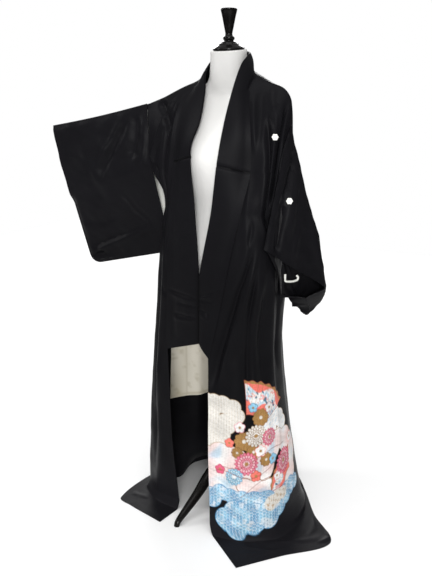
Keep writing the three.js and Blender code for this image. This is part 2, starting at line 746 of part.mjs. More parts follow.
/** Lengths along the collar seam at which body and collar share points. */
function collarStops(side) {
  const knots = collarKnots(side);
  const neckWays = SHOULDER_WAYS.filter((way) => way <= NECK_WAY).reverse();
  const neck = neckWays.map((way) => knots[3] * (1 - way / NECK_WAY));
  const low = collarRun(side, OVERLAP_TOP);
  const chest = SHOULDER_WAYS.filter((way) => way > 0 && way < POINT_WAY);
  const front = chest.map((way) => knots[3] + (low - knots[3]) * (way / POINT_WAY));
  const tops = SHOULDER_WAYS.filter((way) => way >= POINT_WAY && way < 1);
  const panel = tops.map((way) => collarRun(side, overlapHeight(way)));
  const hung = HANGING.filter((z) => z >= COLLAR_END).map((z) => collarRun(side, z));
  const ends = [collarRun(side, OVER_COLLAR_END[side])];
  return [...neck, ...front, ...panel, ...hung, ...ends].sort((a, b) => a - b);
}

const COLLAR_COLUMNS = [0, 0.25, 0.5, 0.75, 1];

function collarRow(side, run) {
  const { seam, free } = collarAt(side, run);
  const middle = mix(seam, free, 0.5);
  const outward = [middle[0], middle[1] - 10, 0];
  const long = Math.hypot(...outward);
  return COLLAR_COLUMNS.map((part) => {
    const flat = mix(seam, free, part);
    const lift = COLLAR_BOW * Math.sin(Math.PI * part);
    const bowed = flat.map((value, axis) => value + (outward[axis] / long) * lift);
    return part === 0 ? flat : clearOfForm(bowed);
  });
}

const collarEnd = (side) => collarRun(side, COLLAR_END);
const overCollarEnds = {
  left: collarRun('left', OVER_COLLAR_END.left),
  right: collarRun('right', OVER_COLLAR_END.right),
};

/** Quads of the collar from one end round the neck to the other. */
function collar(ends) {
  const stops = (side) => collarStops(side).filter((stop) => stop <= ends[side] + 0.01);
  const left = stops('left').map((stop) => collarRow('left', stop));
  const right = stops('right').slice(1).map((stop) => collarRow('right', stop));
  return gridQuads([...right.reverse(), ...left]);
}

/** Inside of the skirt between two heights, from the front round to the centre back. */
function skirtInside(side, from, to) {
  const across = columnsBetween(2, 5);
  const rows = HANGING.filter((z) => z <= from && z >= to);
  return gridQuads(rows.map((z) => across.map((column) => hanging(side, column, z, true))));
}


// ---- sleeves ----
const BAG_CENTRE = { left: [236, -10, 980], right: [-430, -10, 1100] };
const DOWNS = [0, 20, 70, 120, 175, 230, 295, 360, 430, 480, 490];

/** Edge of a sleeve at the body: sewn to the armhole, then free down to the bottom. */
function sleeveStart(side, face, down) {
  const arm = ARMHOLE[side + face];
  const at = (way) => curve(arm.map((row) => row.at), arm.map((row) => row.way), way);
  const sewn = SEWN_WAY[side];
  const clear = side === 'left' ? ARMHOLE_CLEAR : -ARMHOLE_CLEAR;
  if (down <= CUFF_OPENING) {
    const [x, y, z] = at((sewn * down) / CUFF_OPENING);
    return [x + clear, y, z];
  }
  const way = (down - CUFF_OPENING) / (SLEEVE_DEPTH - CUFF_OPENING);
  const [x, y, z] = at(sewn);
  return mix([x + clear, y, z], BAG_BOTTOM[side], way ** 0.9);
}

function sleevePoint(side, face, along, down) {
  const start = sleeveStart(side, face, down);
  const { cuff } = SIDES[side];
  const key = face.toLowerCase();
  const end = curve(cuff.map((row) => row[key]), cuff.map((row) => row.down), down);
  const belly = BELLY[side];
  const bulge = Math.sin(Math.PI * along ** belly.early) * Math.sin((Math.PI * down) / SLEEVE_DEPTH) ** 0.7;
  const sign = face === 'Front' ? -1 : 1;
  const flat = mix(start, end, along);
  const sway = Math.sin(Math.PI * along) * (1 - down / SLEEVE_DEPTH) ** 2;
  return flat.map((value, axis) => (
    value + belly.lean[axis] * sign * belly[face] * bulge + belly.sway[axis] * sway
  ));
}

const ALONGS = [0, 0.14, 0.28, 0.43, 0.57, 0.71, 0.86, 1];

function sleeve(side) {
  const layer = (face) => ALONGS.map((along) => DOWNS.map((down) => sleevePoint(side, face, along, down)));
  const front = layer('Front');
  const back = layer('Back');
  front.forEach((row, i) => {
    row[0] = back[i][0];
    row[row.length - 1] = back[i][back[i].length - 1];
  });
  const quads = [...gridQuads(front), ...gridQuads(back).map((quad) => [...quad].reverse())];
  const cuffFront = front[front.length - 1];
  const cuffBack = back[back.length - 1];
  for (let i = DOWNS.indexOf(CUFF_OPENING); i + 2 < DOWNS.length; i += 1) {
    quads.push([cuffFront[i], cuffFront[i + 1], cuffBack[i + 1], cuffBack[i]]);
  }
  const last = DOWNS.length - 2;
  quads.push([cuffFront[last], cuffBack[last + 1], cuffBack[last + 1], cuffBack[last]]);
  return quads;
}

/** White silk inside a sleeve: the part of its far layer that shows through the openings. */
function sleeveLining(side, bag) {
  const { alongFrom, alongTo, downFrom, downTo, face } = LINING_SHOWN[side];
  const layerCells = (ALONGS.length - 1) * (DOWNS.length - 1);
  const offset = face === 'Front' ? 0 : layerCells;
  return bag.slice(offset, offset + layerCells).filter((quad, i) => {
    const row = Math.floor(i / (DOWNS.length - 1));
    const down = DOWNS[i % (DOWNS.length - 1)];
    return ALONGS[row] >= alongFrom && ALONGS[row] < alongTo && down >= downFrom && down < downTo;
  });
}

/** Leg swept along its table, standing on a flat round end. */
function legSolid() {
  const count = 12;
  const rings = LEG_SECTIONS.map((row, i) => {
    const before = LEG_SECTIONS[Math.max(0, i - 1)];
    const after = LEG_SECTIONS[Math.min(LEG_SECTIONS.length - 1, i + 1)];
    const flat = i >= LEG_SECTIONS.length - 2;
    const way = flat ? [0, -1] : [after.reach - before.reach, after.z - before.z];
    const long = Math.hypot(...way);
    const up = [-way[1] / long, way[0] / long];
    return Array.from({ length: count }, (unused, k) => {
      const angle = (-2 * Math.PI * k) / count;
      const lift = row.radius * Math.cos(angle);
      return [row.reach + up[0] * lift, row.radius * Math.sin(angle), row.z + up[1] * lift];
    });
  });
  return loft(rings);
}

// ---- build ----
const kimono = new THREE.Group();
kimono.name = 'kimono_on_form';

function add(name, geometry, finish) {
  const mesh = new THREE.Mesh(geometry, new THREE.MeshStandardMaterial(FINISH[finish]));
  mesh.name = name;
  kimono.add(mesh);
  return mesh;
}

const CENTRE = [0, 0, 0];
const panels = {
  body_left: facingAway([...bodyFront('left'), ...bodyBack('left')], CENTRE),
  body_right: facingAway([...bodyFront('right'), ...bodyBack('right')], CENTRE),
  overlap_left: facingAway(overlap('left'), CENTRE),
  overlap_right: facingAway(overlap('right'), CENTRE),
  collar: facingAway(collar({ left: collarEnd('left'), right: collarEnd('right') }), CENTRE),
};
const cloth = sharedNormals(Object.values(panels).flat());
for (const [name, quads] of Object.entries(panels)) {
  add(name, wall(quads, cloth, name === 'collar' ? COLLAR_CLOTH : CLOTH), 'silk');
}

const overCollarQuads = facingAway(collar(overCollarEnds), CENTRE);
const overCollarNormals = sharedNormals(overCollarQuads);
const overCollarShift = COLLAR_CLOTH / 2 + OVER_COLLAR_RISE + OVER_COLLAR_CLOTH / 2;
const overCollarWall = [OVER_COLLAR_CLOTH, overCollarShift, OVER_COLLAR_TRIM];
add('over_collar', wall(overCollarQuads, overCollarNormals, ...overCollarWall), 'silk');

const liningShift = -(CLOTH / 2 + SEAM_GAP + LINING_CLOTH / 2);
for (const side of ['left', 'right']) {
  const inside = (from, to) => facingAway(skirtInside(side, from, to), CENTRE);
  add(`lining_${side}`, wall(inside(LINING_TOP, FACING_TOP), cloth, LINING_CLOTH, liningShift), 'whiteSilk');
  add(`facing_${side}`, wall(inside(FACING_TOP, BEND_TOP), cloth, LINING_CLOTH, liningShift), 'silk');
  const bag = facingAway(sleeve(side), BAG_CENTRE[side]);
  const bagNormals = sharedNormals(bag);
  add(`sleeve_${side}`, wall(bag, bagNormals, CLOTH), 'silk');
  const inner = sleeveLining(side, bag);
  add(`sleeve_lining_${side}`, wall(inner, bagNormals, LINING_CLOTH, liningShift), 'whiteSilk');
}

// Dress form and its stand.
const FORM_SIDES = 32;
const round = (value) => Math.sign(value) * Math.abs(value) ** (2 / ROUNDNESS);
const aroundForm = Array.from({ length: FORM_SIDES }, (unused, i) => (2 * Math.PI * i) / FORM_SIDES);
const formRings = FORM_SECTIONS.map(({ z, wide, deep, shift }) => aroundForm.map((angle) => {
  const y = shift + deep * round(Math.sin(angle));
  return [wide * round(Math.cos(angle)), y, z + neckSlope(y, z)];
}));
add('torso', loft(formRings), 'formJersey');

/** Closed turning around the pole's axis. */
function turned(profile, sides, slope = 0) {
  return loft(profile.map(({ z, radius }) => Array.from({ length: sides }, (unused, i) => {
    const angle = (2 * Math.PI * i) / sides;
    const y = radius * Math.sin(angle);
    return [radius * Math.cos(angle), y, z + y * slope * Math.max(0, 1 - z / 20)];
  })));
}
const finial = add('neck_cap', turned(FINIAL_PROFILE, 24, NECK_SLOPE), 'gloss');
finial.position.z = FORM_TOP + SEAM_GAP;
const poleTop = FORM_SECTIONS[0].z - SEAM_GAP;
const poleProfile = [HUB.top + SEAM_GAP, poleTop].map((z) => ({ z, radius: POLE_RADIUS }));
add('pole', turned(poleProfile, 20), 'steel');
add('hub', turned([
  { z: HUB.bottom, radius: HUB.radius - 5 },
  { z: HUB.bottom + 6, radius: HUB.radius },
  { z: HUB.top - 6, radius: HUB.radius },
  { z: HUB.top, radius: HUB.radius - 6 },
], 24), 'gloss');
LEG_ANGLES.forEach((angle, i) => {
  const leg = add(`leg_${i + 1}`, legSolid(), 'gloss');
  leg.rotation.z = THREE.MathUtils.degToRad(angle);
});

// The part's own origin is on the floor under the middle of its outline.
kimono.updateMatrixWorld(true);
const outline = new THREE.Box3().setFromObject(kimono);
const middleX = (outline.min.x + outline.max.x) / 2;
const middleY = (outline.min.y + outline.max.y) / 2;
kimono.children.forEach((mesh) => mesh.position.add(new THREE.Vector3(-middleX, -middleY, -outline.min.z)));

export default kimono;
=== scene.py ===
"""Kurotomesode kimono on a limbless dress form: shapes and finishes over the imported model."""
import json
import logging
import math
from dataclasses import dataclass, field
from enum import Enum
from typing import Sequence

import bpy
import numpy as np
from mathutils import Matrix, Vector

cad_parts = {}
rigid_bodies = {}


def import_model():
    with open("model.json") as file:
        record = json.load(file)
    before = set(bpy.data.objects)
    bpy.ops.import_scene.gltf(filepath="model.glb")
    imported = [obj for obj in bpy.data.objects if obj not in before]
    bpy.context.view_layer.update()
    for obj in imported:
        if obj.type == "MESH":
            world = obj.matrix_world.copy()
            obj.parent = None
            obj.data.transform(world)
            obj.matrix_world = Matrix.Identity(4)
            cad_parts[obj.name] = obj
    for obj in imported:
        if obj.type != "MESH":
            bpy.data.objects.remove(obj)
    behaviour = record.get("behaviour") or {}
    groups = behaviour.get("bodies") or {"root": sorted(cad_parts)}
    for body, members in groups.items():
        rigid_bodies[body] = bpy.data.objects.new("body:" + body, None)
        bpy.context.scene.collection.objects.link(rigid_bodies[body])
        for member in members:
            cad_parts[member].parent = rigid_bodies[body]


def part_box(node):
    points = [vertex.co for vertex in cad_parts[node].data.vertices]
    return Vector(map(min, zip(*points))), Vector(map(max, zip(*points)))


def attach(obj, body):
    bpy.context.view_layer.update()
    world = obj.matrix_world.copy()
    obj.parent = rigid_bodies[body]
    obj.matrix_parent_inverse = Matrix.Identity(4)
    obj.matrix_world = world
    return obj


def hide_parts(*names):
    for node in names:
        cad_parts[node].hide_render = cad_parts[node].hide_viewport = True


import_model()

LOG = logging.getLogger("kimono")
Array = np.ndarray
Socket = bpy.types.NodeSocket
Triple = tuple[float, float, float]
Feeds = dict[str | int, object]
MM = 0.001


class Side(Enum):
    """Half of the garment, named from its wearer."""

    LEFT = "left"
    RIGHT = "right"

    @property
    def sign(self) -> int:
        """Return 1 for the wearer's left, which lies at +X, and -1 for the right."""
        return 1 if self is Side.LEFT else -1


class Face(Enum):
    """Layer of a sleeve or half of a body panel."""

    FRONT = "Front"
    BACK = "Back"


# ---- driving sizes, millimetres ----
CLOTH = 1.6
COLLAR_CLOTH = 2.4
OVER_COLLAR_CLOTH = 1.2
OVER_COLLAR_TRIM = 2.6
OVER_COLLAR_GAP = 0.35
LINING_CLOTH = 1.0
LINING_GAP = 0.6
LINING_SHIFT = -(CLOTH / 2 + LINING_GAP + LINING_CLOTH / 2)
COLLAR_BOW = 5.0
ARMHOLE_CLEAR = 0.3
FORM_CLEARANCE = 1.5
FLOOR_LIFT = CLOTH / 2
FINIAL_GAP = 0.6
SLEEVE_DEPTH = 490.0
SLEEVE_WIDE = 340.0
CUFF_OPENING = 230.0
OVER_COLLAR_SEAM = 4.0
SEAM_OVER = 4.5
SEAM_LIFT = 1.6
LEG_CLEAR = 17.0
TENT_RIDGE = 18.0
TENT_HALF = 137.0
TENT_SOFT = 14.0
TENT_FROM = 60.0
# Heights above the floor.
UNDERARM = 1060.0
SIDE_SEAM_TOP = 1000.0
OVERLAP_TOP = 1180.0
COLLARS_MEET = 905.0
LINING_TOP = 760.0
COLLAR_END = 600.0
PICTURE_TOP = 552.0
FACING_TOP = 340.0
HUB_TOP = 232.0
BEND_TOP = 30.0
OVER_COLLAR_END = {Side.LEFT: 1190.0, Side.RIGHT: 1212.0}
# Lengths of the panels' own height scale above the underarm and along the floor.
UPPER_RUN = 340.0
FLOOR_RUN = 190.0
COLUMN_MM = 95.0
# Plan columns at which lining and facing begin.
LINING_FROM = {Side.LEFT: 2.2, Side.RIGHT: 2.57}
FACING_FROM = 2.0
# Slopes, gains and parts of a way, without unit.
NECK_SLOPE = 0.12
NECK_WAY = 0.26
POINT_WAY = 0.65
ROUNDNESS = 2.3
END_DRAWN = 0.975
CREASE_GAIN = 1.6
SLEEVE_GAIN = 2.0
# Degrees.
LEG_ANGLES = (-108.0, 12.0, 132.0)
RIM_ANGLE = 50.0
TURNED_RIM_ANGLE = 60.0
SEAM_SHADOW = (0.0012, 0.0011, 0.0013)

# ---- tables ----
# Dress form: height, half width, half depth, shift.
FORM_SECTIONS = np.array([
    (780, 150, 104, 4), (850, 162, 114, 4), (920, 157, 108, 2), (1000, 132, 92, 0),
    (1065, 124, 88, -2), (1140, 140, 98, -8), (1210, 157, 106, -12), (1270, 158, 98, -8),
    (1325, 162, 80, -2), (1362, 172, 64, 2), (1388.5, 172, 52, 4), (1404.5, 156, 46, 5),
    (1418.5, 118, 46, 5), (1432.5, 82, 48, 4), (1450, 63, 51, 3), (1485, 55, 53, 1),
    (1534, 53, 53, 0),
])
FORM_TOP = 1534.0
# Neck cap and finial: height above the neck, radius.
CAP_PROFILE = np.array([
    (0, 44), (1.2, 47), (4.5, 47.5), (6, 46), (9, 41), (12, 35.5), (15, 31), (17, 29.5), (18, 26),
    (19.5, 25), (22, 22), (23.6, 18.5), (24.4, 14.8), (26.5, 14.2), (29, 16.0), (32, 17.2), (35, 16.8),
    (38, 14.6), (40.5, 11.8), (42.5, 10.8), (46, 10.6), (56, 12.4), (72, 15.8), (88, 19.0), (98, 21.2),
    (106, 23.2), (111, 24.3), (113.5, 24.3), (115.2, 23.2), (116, 21),
])
# Leg: reach from the axis, height, radius.
LEG_SECTIONS = np.array([
    (30.5, 182, 13), (62, 152, 18), (100, 118, 19), (140, 82, 17),
    (187, 47, 14), (226, 19, 11), (236, 9, 10), (238, 0, 10),
])
# Collar rows: seam point and free edge, from the back of the neck to its end.
COLLARS = {
    Side.LEFT: np.array([
        (0, 76, 1478, 0, 64, 1532), (48, 54, 1479, 43, 47, 1531), (76, 15, 1468, 61, 4, 1518),
        (89, -8, 1454, 61, -37, 1494), (89, -50, 1408, 55, -76, 1432), (110, -85, 1307, 43, -114, 1325),
        (117, -95, 1191, 33, -140, 1212), (101, -120, 1078, 16, -147, 1060),
        (72, -140, 911, -20, -152, 874), (40, -149, 740, -20.6, -156, 750), (8, -150, 600, -20.6, -156, 645),
    ]),
    Side.RIGHT: np.array([
        (0, 76, 1478, 0, 64, 1532), (-48, 54, 1479, -44, 46, 1529), (-74, 15, 1468, -61, 4, 1503),
        (-86, -8, 1452, -56, -40, 1470), (-116, -42, 1395, -36, -84, 1412),
        (-131, -72, 1325, -38, -110, 1330), (-133, -95, 1227, -62, -127, 1247),
        (-141, -112, 1080, -42, -143, 1090), (-145, -130, 880, -22, -152, 873),
        (-147, -136, 740, -21.4, -156, 750), (-149, -140, 600, -21.4, -156, 645),
    ]),
}
# Plan of the hanging cloth: height, then x and y of overlap seam, front, side, back and centre back.
RINGS = {
    Side.LEFT: np.array([
        (1060, 122, -113, 168, -98, 190, -84, 150, 96, 0, 113),
        (1000, 130, -119, 178, -86, 194, -8, 150, 100, 0, 116),
        (880, 136, -126, 184, -66, 192, 20, 142, 110, -6, 128),
        (740, 130, -124, 182, -57, 184, 28, 130, 116, -15, 136),
        (600, 124, -122, 181, -55, 181, 30, 122, 122, -24, 144),
        (300, 150, -158, 214, -84, 216, 48, 132, 160, -34, 168),
        (140, 160, -176, 232, -100, 240, 58, 142, 176, -32, 178),
        (30, 165, -190, 248, -115, 264, 66, 152, 188, -30, 186),
    ]),
    Side.RIGHT: np.array([
        (1060, -156, -103, -186, -76, -206, -36, -150, 95, 0, 113),
        (1000, -168, -102, -206, -66, -212, -5, -150, 98, 0, 116),
        (880, -178, -118, -216, -62, -206, 22, -140, 106, -6, 128),
        (740, -188, -126, -222, -68, -200, 38, -130, 110, -15, 136),
        (600, -200, -132, -234, -74, -194, 50, -126, 114, -24, 144),
        (300, -214, -130, -262, -72, -192, 50, -124, 116, -34, 168),
        (140, -220, -124, -280, -62, -192, 48, -126, 108, -32, 178),
        (30, -224, -120, -290, -50, -192, 46, -128, 104, -30, 186),
    ]),
}
OPEN_SIDE = {Side.LEFT: (205, 45), Side.RIGHT: (-208, 32)}
# Free front edge below the collar: height, x, y.
EDGES = {
    Side.LEFT: np.array([(600, 8, -150), (300, 26, -184), (140, 36, -196), (30, 42, -205)]),
    Side.RIGHT: np.array([(600, -149, -140), (300, -142, -137), (140, -130, -135), (30, -118, -136)]),
}
# Hem on the floor: edge, overlap seam, front, side, back, centre back.
HEMS = {
    Side.LEFT: np.array([(197, -321), (296, -208), (416, -70), (318, 50), (150, 285), (-30, 372)]),
    Side.RIGHT: np.array([(-135, -237), (-281, -204), (-338, -182), (-322, 4), (-225, 275), (-30, 372)]),
}
SHOULDERS = {
    Side.LEFT: np.array([(89, -8, 1454), (138, 4, 1438), (180, 5, 1422), (204, 0, 1388), (212, -18, 1318)]),
    Side.RIGHT: np.array([
        (-86, -8, 1452), (-130, 4, 1438), (-175, 5, 1424), (-235, 2, 1396), (-298, 0, 1378)]),
}
# Armhole edges: part of the way down, then the point.
ARMHOLES = {
    (Side.LEFT, Face.FRONT): np.array([
        (0, 212, -18, 1318), (0.4, 204, -62, 1232), (0.9, 197, -88, 1098), (1, 190, -84, 1060)]),
    (Side.LEFT, Face.BACK): np.array([
        (0, 212, -18, 1318), (0.4, 212, 30, 1226), (0.9, 208, 46, 1098), (1, 205, 45, 1060)]),
    (Side.RIGHT, Face.FRONT): np.array([
        (0, -298, 0, 1378), (0.3, -283, -20, 1290), (0.65, -265, -32, 1180),
        (0.9, -206, -48, 1098), (1, -206, -36, 1060)]),
    (Side.RIGHT, Face.BACK): np.array([
        (0, -298, 0, 1378), (0.3, -284, 22, 1290), (0.65, -268, 30, 1184),
        (0.9, -214, 34, 1098), (1, -208, 32, 1060)]),
}
SEWN_WAY = {Side.LEFT: 0.9, Side.RIGHT: 0.65}
# Cuff edges: distance down from the fold, front layer, back layer.
CUFFS = {
    Side.LEFT: np.array([
        (0, 190, -140, 970, 190, -140, 970), (20, 198, -124, 956, 202, -132, 962),
        (120, 206, -62, 868, 252, -62, 905), (230, 194, -10, 800, 325, 30, 836),
        (360, 214, 70, 745, 298, 96, 768), (480, 232, 108, 714, 248, 116, 716),
        (490, 240, 114, 710, 240, 114, 710),
    ]),
    Side.RIGHT: np.array([
        (0, -652, -56, 1304, -652, -56, 1304), (20, -646, -63, 1284, -648, -48, 1284),
        (120, -626, -62, 1186, -630, -34, 1186), (230, -600, -54, 1076, -602, -28, 1076),
        (360, -567, -42, 946, -568, -24, 946), (480, -534, -34, 832, -535, -22, 832),
        (490, -528, -28, 822, -528, -28, 822),
    ]),
}
# Middle line of the white inner sleeve's mouth in the left cuff, and half its band's width.
MOUTH_PATH = np.array([
    (212, -24, 872), (209, -17, 858), (208, -11, 847), (215, 4, 842), (225, 20, 841), (232, 30, 844),
    (234, 30, 852), (231, 24, 860),
], float)
SLEEVE_SAG = {Side.LEFT: 14.0, Side.RIGHT: 0.0}
MOUTH_HALF = 5.4
BAG_BOTTOM = {Side.LEFT: (209, 10, 842), Side.RIGHT: (-230, 26, 888)}


@dataclass(frozen=True)
class Belly:
    """How far a sleeve's layers stand out between armhole and cuff."""

    front: float
    back: float
    early: float
    lean: Triple
    sway: Triple


BELLIES = {
    Side.LEFT: Belly(-14, 34, 0.62, (1, 0.1, 0.1), (8, -26, 0)),
    Side.RIGHT: Belly(8, 8, 1, (0, 1, 0), (0, 0, -4)),
}


@dataclass(frozen=True)
class Fold:
    """One large soft fold, by column (0 edge, 1 overlap seam, 2 front, 3 side, 4 back, 5 centre)."""

    from_column: float
    from_z: float
    to_column: float
    to_z: float
    wide: float
    out: float


FOLDS = {
    Side.LEFT: (
        Fold(1.5, 900, 0.25, 470, 46, 10), Fold(1.05, 860, 0.05, 430, 34, -7),
        Fold(1.6, 880, 1.3, 60, 44, -8), Fold(2.5, 700, 2.6, 30, 52, -9),
        Fold(3.5, 980, 3.6, 30, 60, 12), Fold(4.4, 900, 4.5, 30, 60, -12),
    ),
    Side.RIGHT: (
        Fold(4.4, 940, 4.5, 30, 60, 12), Fold(1.5, 800, 1.4, 30, 46, -8), Fold(2.5, 900, 2.4, 30, 56, 8),
    ),
}


# ---- curves ----
def spline_weights(knots: Array, at: Array) -> Array:
    """Weights of a smooth curve through rows placed at rising knots.

    Args:
        knots: Rising positions of the rows.
        at: Positions at which the curve is wanted.

    Returns:
        One line of weights for each wanted position.
    """
    knots = np.asarray(knots, float)
    at = np.atleast_1d(np.asarray(at, float))
    last = len(knots) - 1
    low = np.clip(np.searchsorted(knots, at, side="left") - 1, 0, last - 1)
    span = knots[low + 1] - knots[low]
    t = np.clip((at - knots[low]) / span, 0, 1)
    rise = 3 * t**2 - 2 * t**3
    lines = np.arange(len(at))
    weights = np.zeros((len(at), last + 1))
    np.add.at(weights, (lines, low), 1 - rise)
    np.add.at(weights, (lines, low + 1), rise)
    for node, factor in ((low, t**3 - 2 * t**2 + t), (low + 1, t**3 - t**2)):
        before = np.maximum(0, node - 1)
        after = np.minimum(last, node + 1)
        slope = factor * span / (knots[after] - knots[before])
        np.add.at(weights, (lines, after), slope)
        np.add.at(weights, (lines, before), -slope)
    return weights


def spline(rows: Array, knots: Array, at: Array) -> Array:
    """Return points of the smooth curve through rows at rising knots."""
    return spline_weights(knots, at) @ np.asarray(rows, float)


def run_lengths(points: Array) -> Array:
    """Return the running length along a row of points."""
    steps = np.linalg.norm(np.diff(points, axis=0), axis=1)
    return np.concatenate([[0.0], np.cumsum(steps)])


def smooth_step(low: float, high: float, value: Array) -> Array:
    """Return 0 below low, 1 above high and a smooth rise between them."""
    t = np.clip((value - low) / (high - low), 0, 1)
    return t * t * (3 - 2 * t)


def soft_noise(x: Array, y: Array, size: float, seed: int) -> Array:
    """Smooth wandering between about -1 and 1 for small undulations of cloth.

    Args:
        x: First coordinate, millimetres.
        y: Second coordinate, millimetres.
        size: Typical distance between two crests, millimetres.
        seed: Number that fixes the pattern.

    Returns:
        The height of the pattern at each point.
    """
    rng = np.random.default_rng(seed)
    total = np.zeros(np.broadcast(x, y).shape)
    for _ in range(9):
        angle = rng.uniform(0, 2 * math.pi)
        wave = 2 * math.pi / (size * rng.uniform(0.7, 1.7))
        phase = rng.uniform(0, 2 * math.pi)
        total += np.sin((x * math.cos(angle) + y * math.sin(angle)) * wave + phase)
    return total / 4.5


# ---- forms that carry the cloth ----
FORM_STEPS = np.arange(FORM_SECTIONS[0, 0], FORM_TOP + 0.5, 0.5)
FORM_TABLE = spline(FORM_SECTIONS[:, 1:], FORM_SECTIONS[:, 0], FORM_STEPS)
LEG_UPWARD = LEG_SECTIONS[::-1]
LEG_HEIGHTS = LEG_UPWARD[:, 1] + np.arange(len(LEG_UPWARD)) * 0.01


def form_section(z: Array) -> Array:
    """Return half width, half depth and shift of the dress form at each height."""
    return np.stack([np.interp(z, FORM_STEPS, FORM_TABLE[:, i]) for i in range(3)], -1)


def form_reach(points: Array) -> Array:
    """Return below 1 for points inside the dress form and above 1 outside."""
    x, y, z = points[..., 0], points[..., 1], points[..., 2]
    section = form_section(np.minimum(z, FORM_TOP))
    across = np.abs(x / section[..., 0]) ** ROUNDNESS
    along = np.abs((y - section[..., 2]) / section[..., 1]) ** ROUNDNESS
    reach = (across + along) ** (1 / ROUNDNESS)
    outside = (z < FORM_SECTIONS[0, 0]) | (z > FORM_TOP + 26)
    return np.where(outside, 9.0, reach)


def clear_of_form(points: Array, clearance: float = FORM_CLEARANCE) -> Array:
    """Move points out until they clear the dress form.

    Args:
        points: Points in millimetres, any shape with three last values.
        clearance: Distance to keep from the form.

    Returns:
        The moved points.
    """
    out = np.array(points, float).reshape(-1, 3)
    moving = np.arange(len(out))
    for _ in range(60):
        here = form_reach(out[moving])
        slope = np.zeros((len(moving), 3))
        for axis in range(3):
            step = np.zeros(3)
            step[axis] = 1
            slope[:, axis] = form_reach(out[moving] + step) - form_reach(out[moving] - step)
        steep = np.linalg.norm(slope, axis=1) / 2
        safe = np.maximum(steep, 1e-6)
        short = clearance - (here - 1) / safe
        near = (here < 8) & (steep > 1e-6) & (short > 0)
        moving = moving[near]
        if not len(moving):
            break
        move = np.minimum(3, short[near] + 0.05) / (2 * safe[near])
        out[moving] += slope[near] * move[:, None]
    return out.reshape(np.shape(points))


def clear_of_legs(points: Array) -> Array:
    """Return points tented over the rear legs, which reach further than the cloth."""
    out = np.array(points, float)
    x, y, z = out[..., 0], out[..., 1], out[..., 2]
    reach = spline(LEG_UPWARD[:, :1], LEG_HEIGHTS, np.maximum(0, z - LEG_CLEAR).ravel())
    needed = reach[:, 0].reshape(z.shape) + LEG_CLEAR
    for angle in np.radians(LEG_ANGLES[1:]):
        way = (math.cos(angle), math.sin(angle))
        along = x * way[0] + y * way[1]
        aside = np.abs(-x * way[1] + y * way[0])
        near = np.clip((TENT_HALF - aside) / (TENT_HALF - TENT_RIDGE), 0, 1)
        short = np.clip((needed - along) / TENT_SOFT, -30, 30)
        push = TENT_SOFT * np.log1p(np.exp(short)) * near * near * (3 - 2 * near)
        push = np.where(along > TENT_FROM, push, 0)
        x += way[0] * push
        y += way[1] * push
    return out


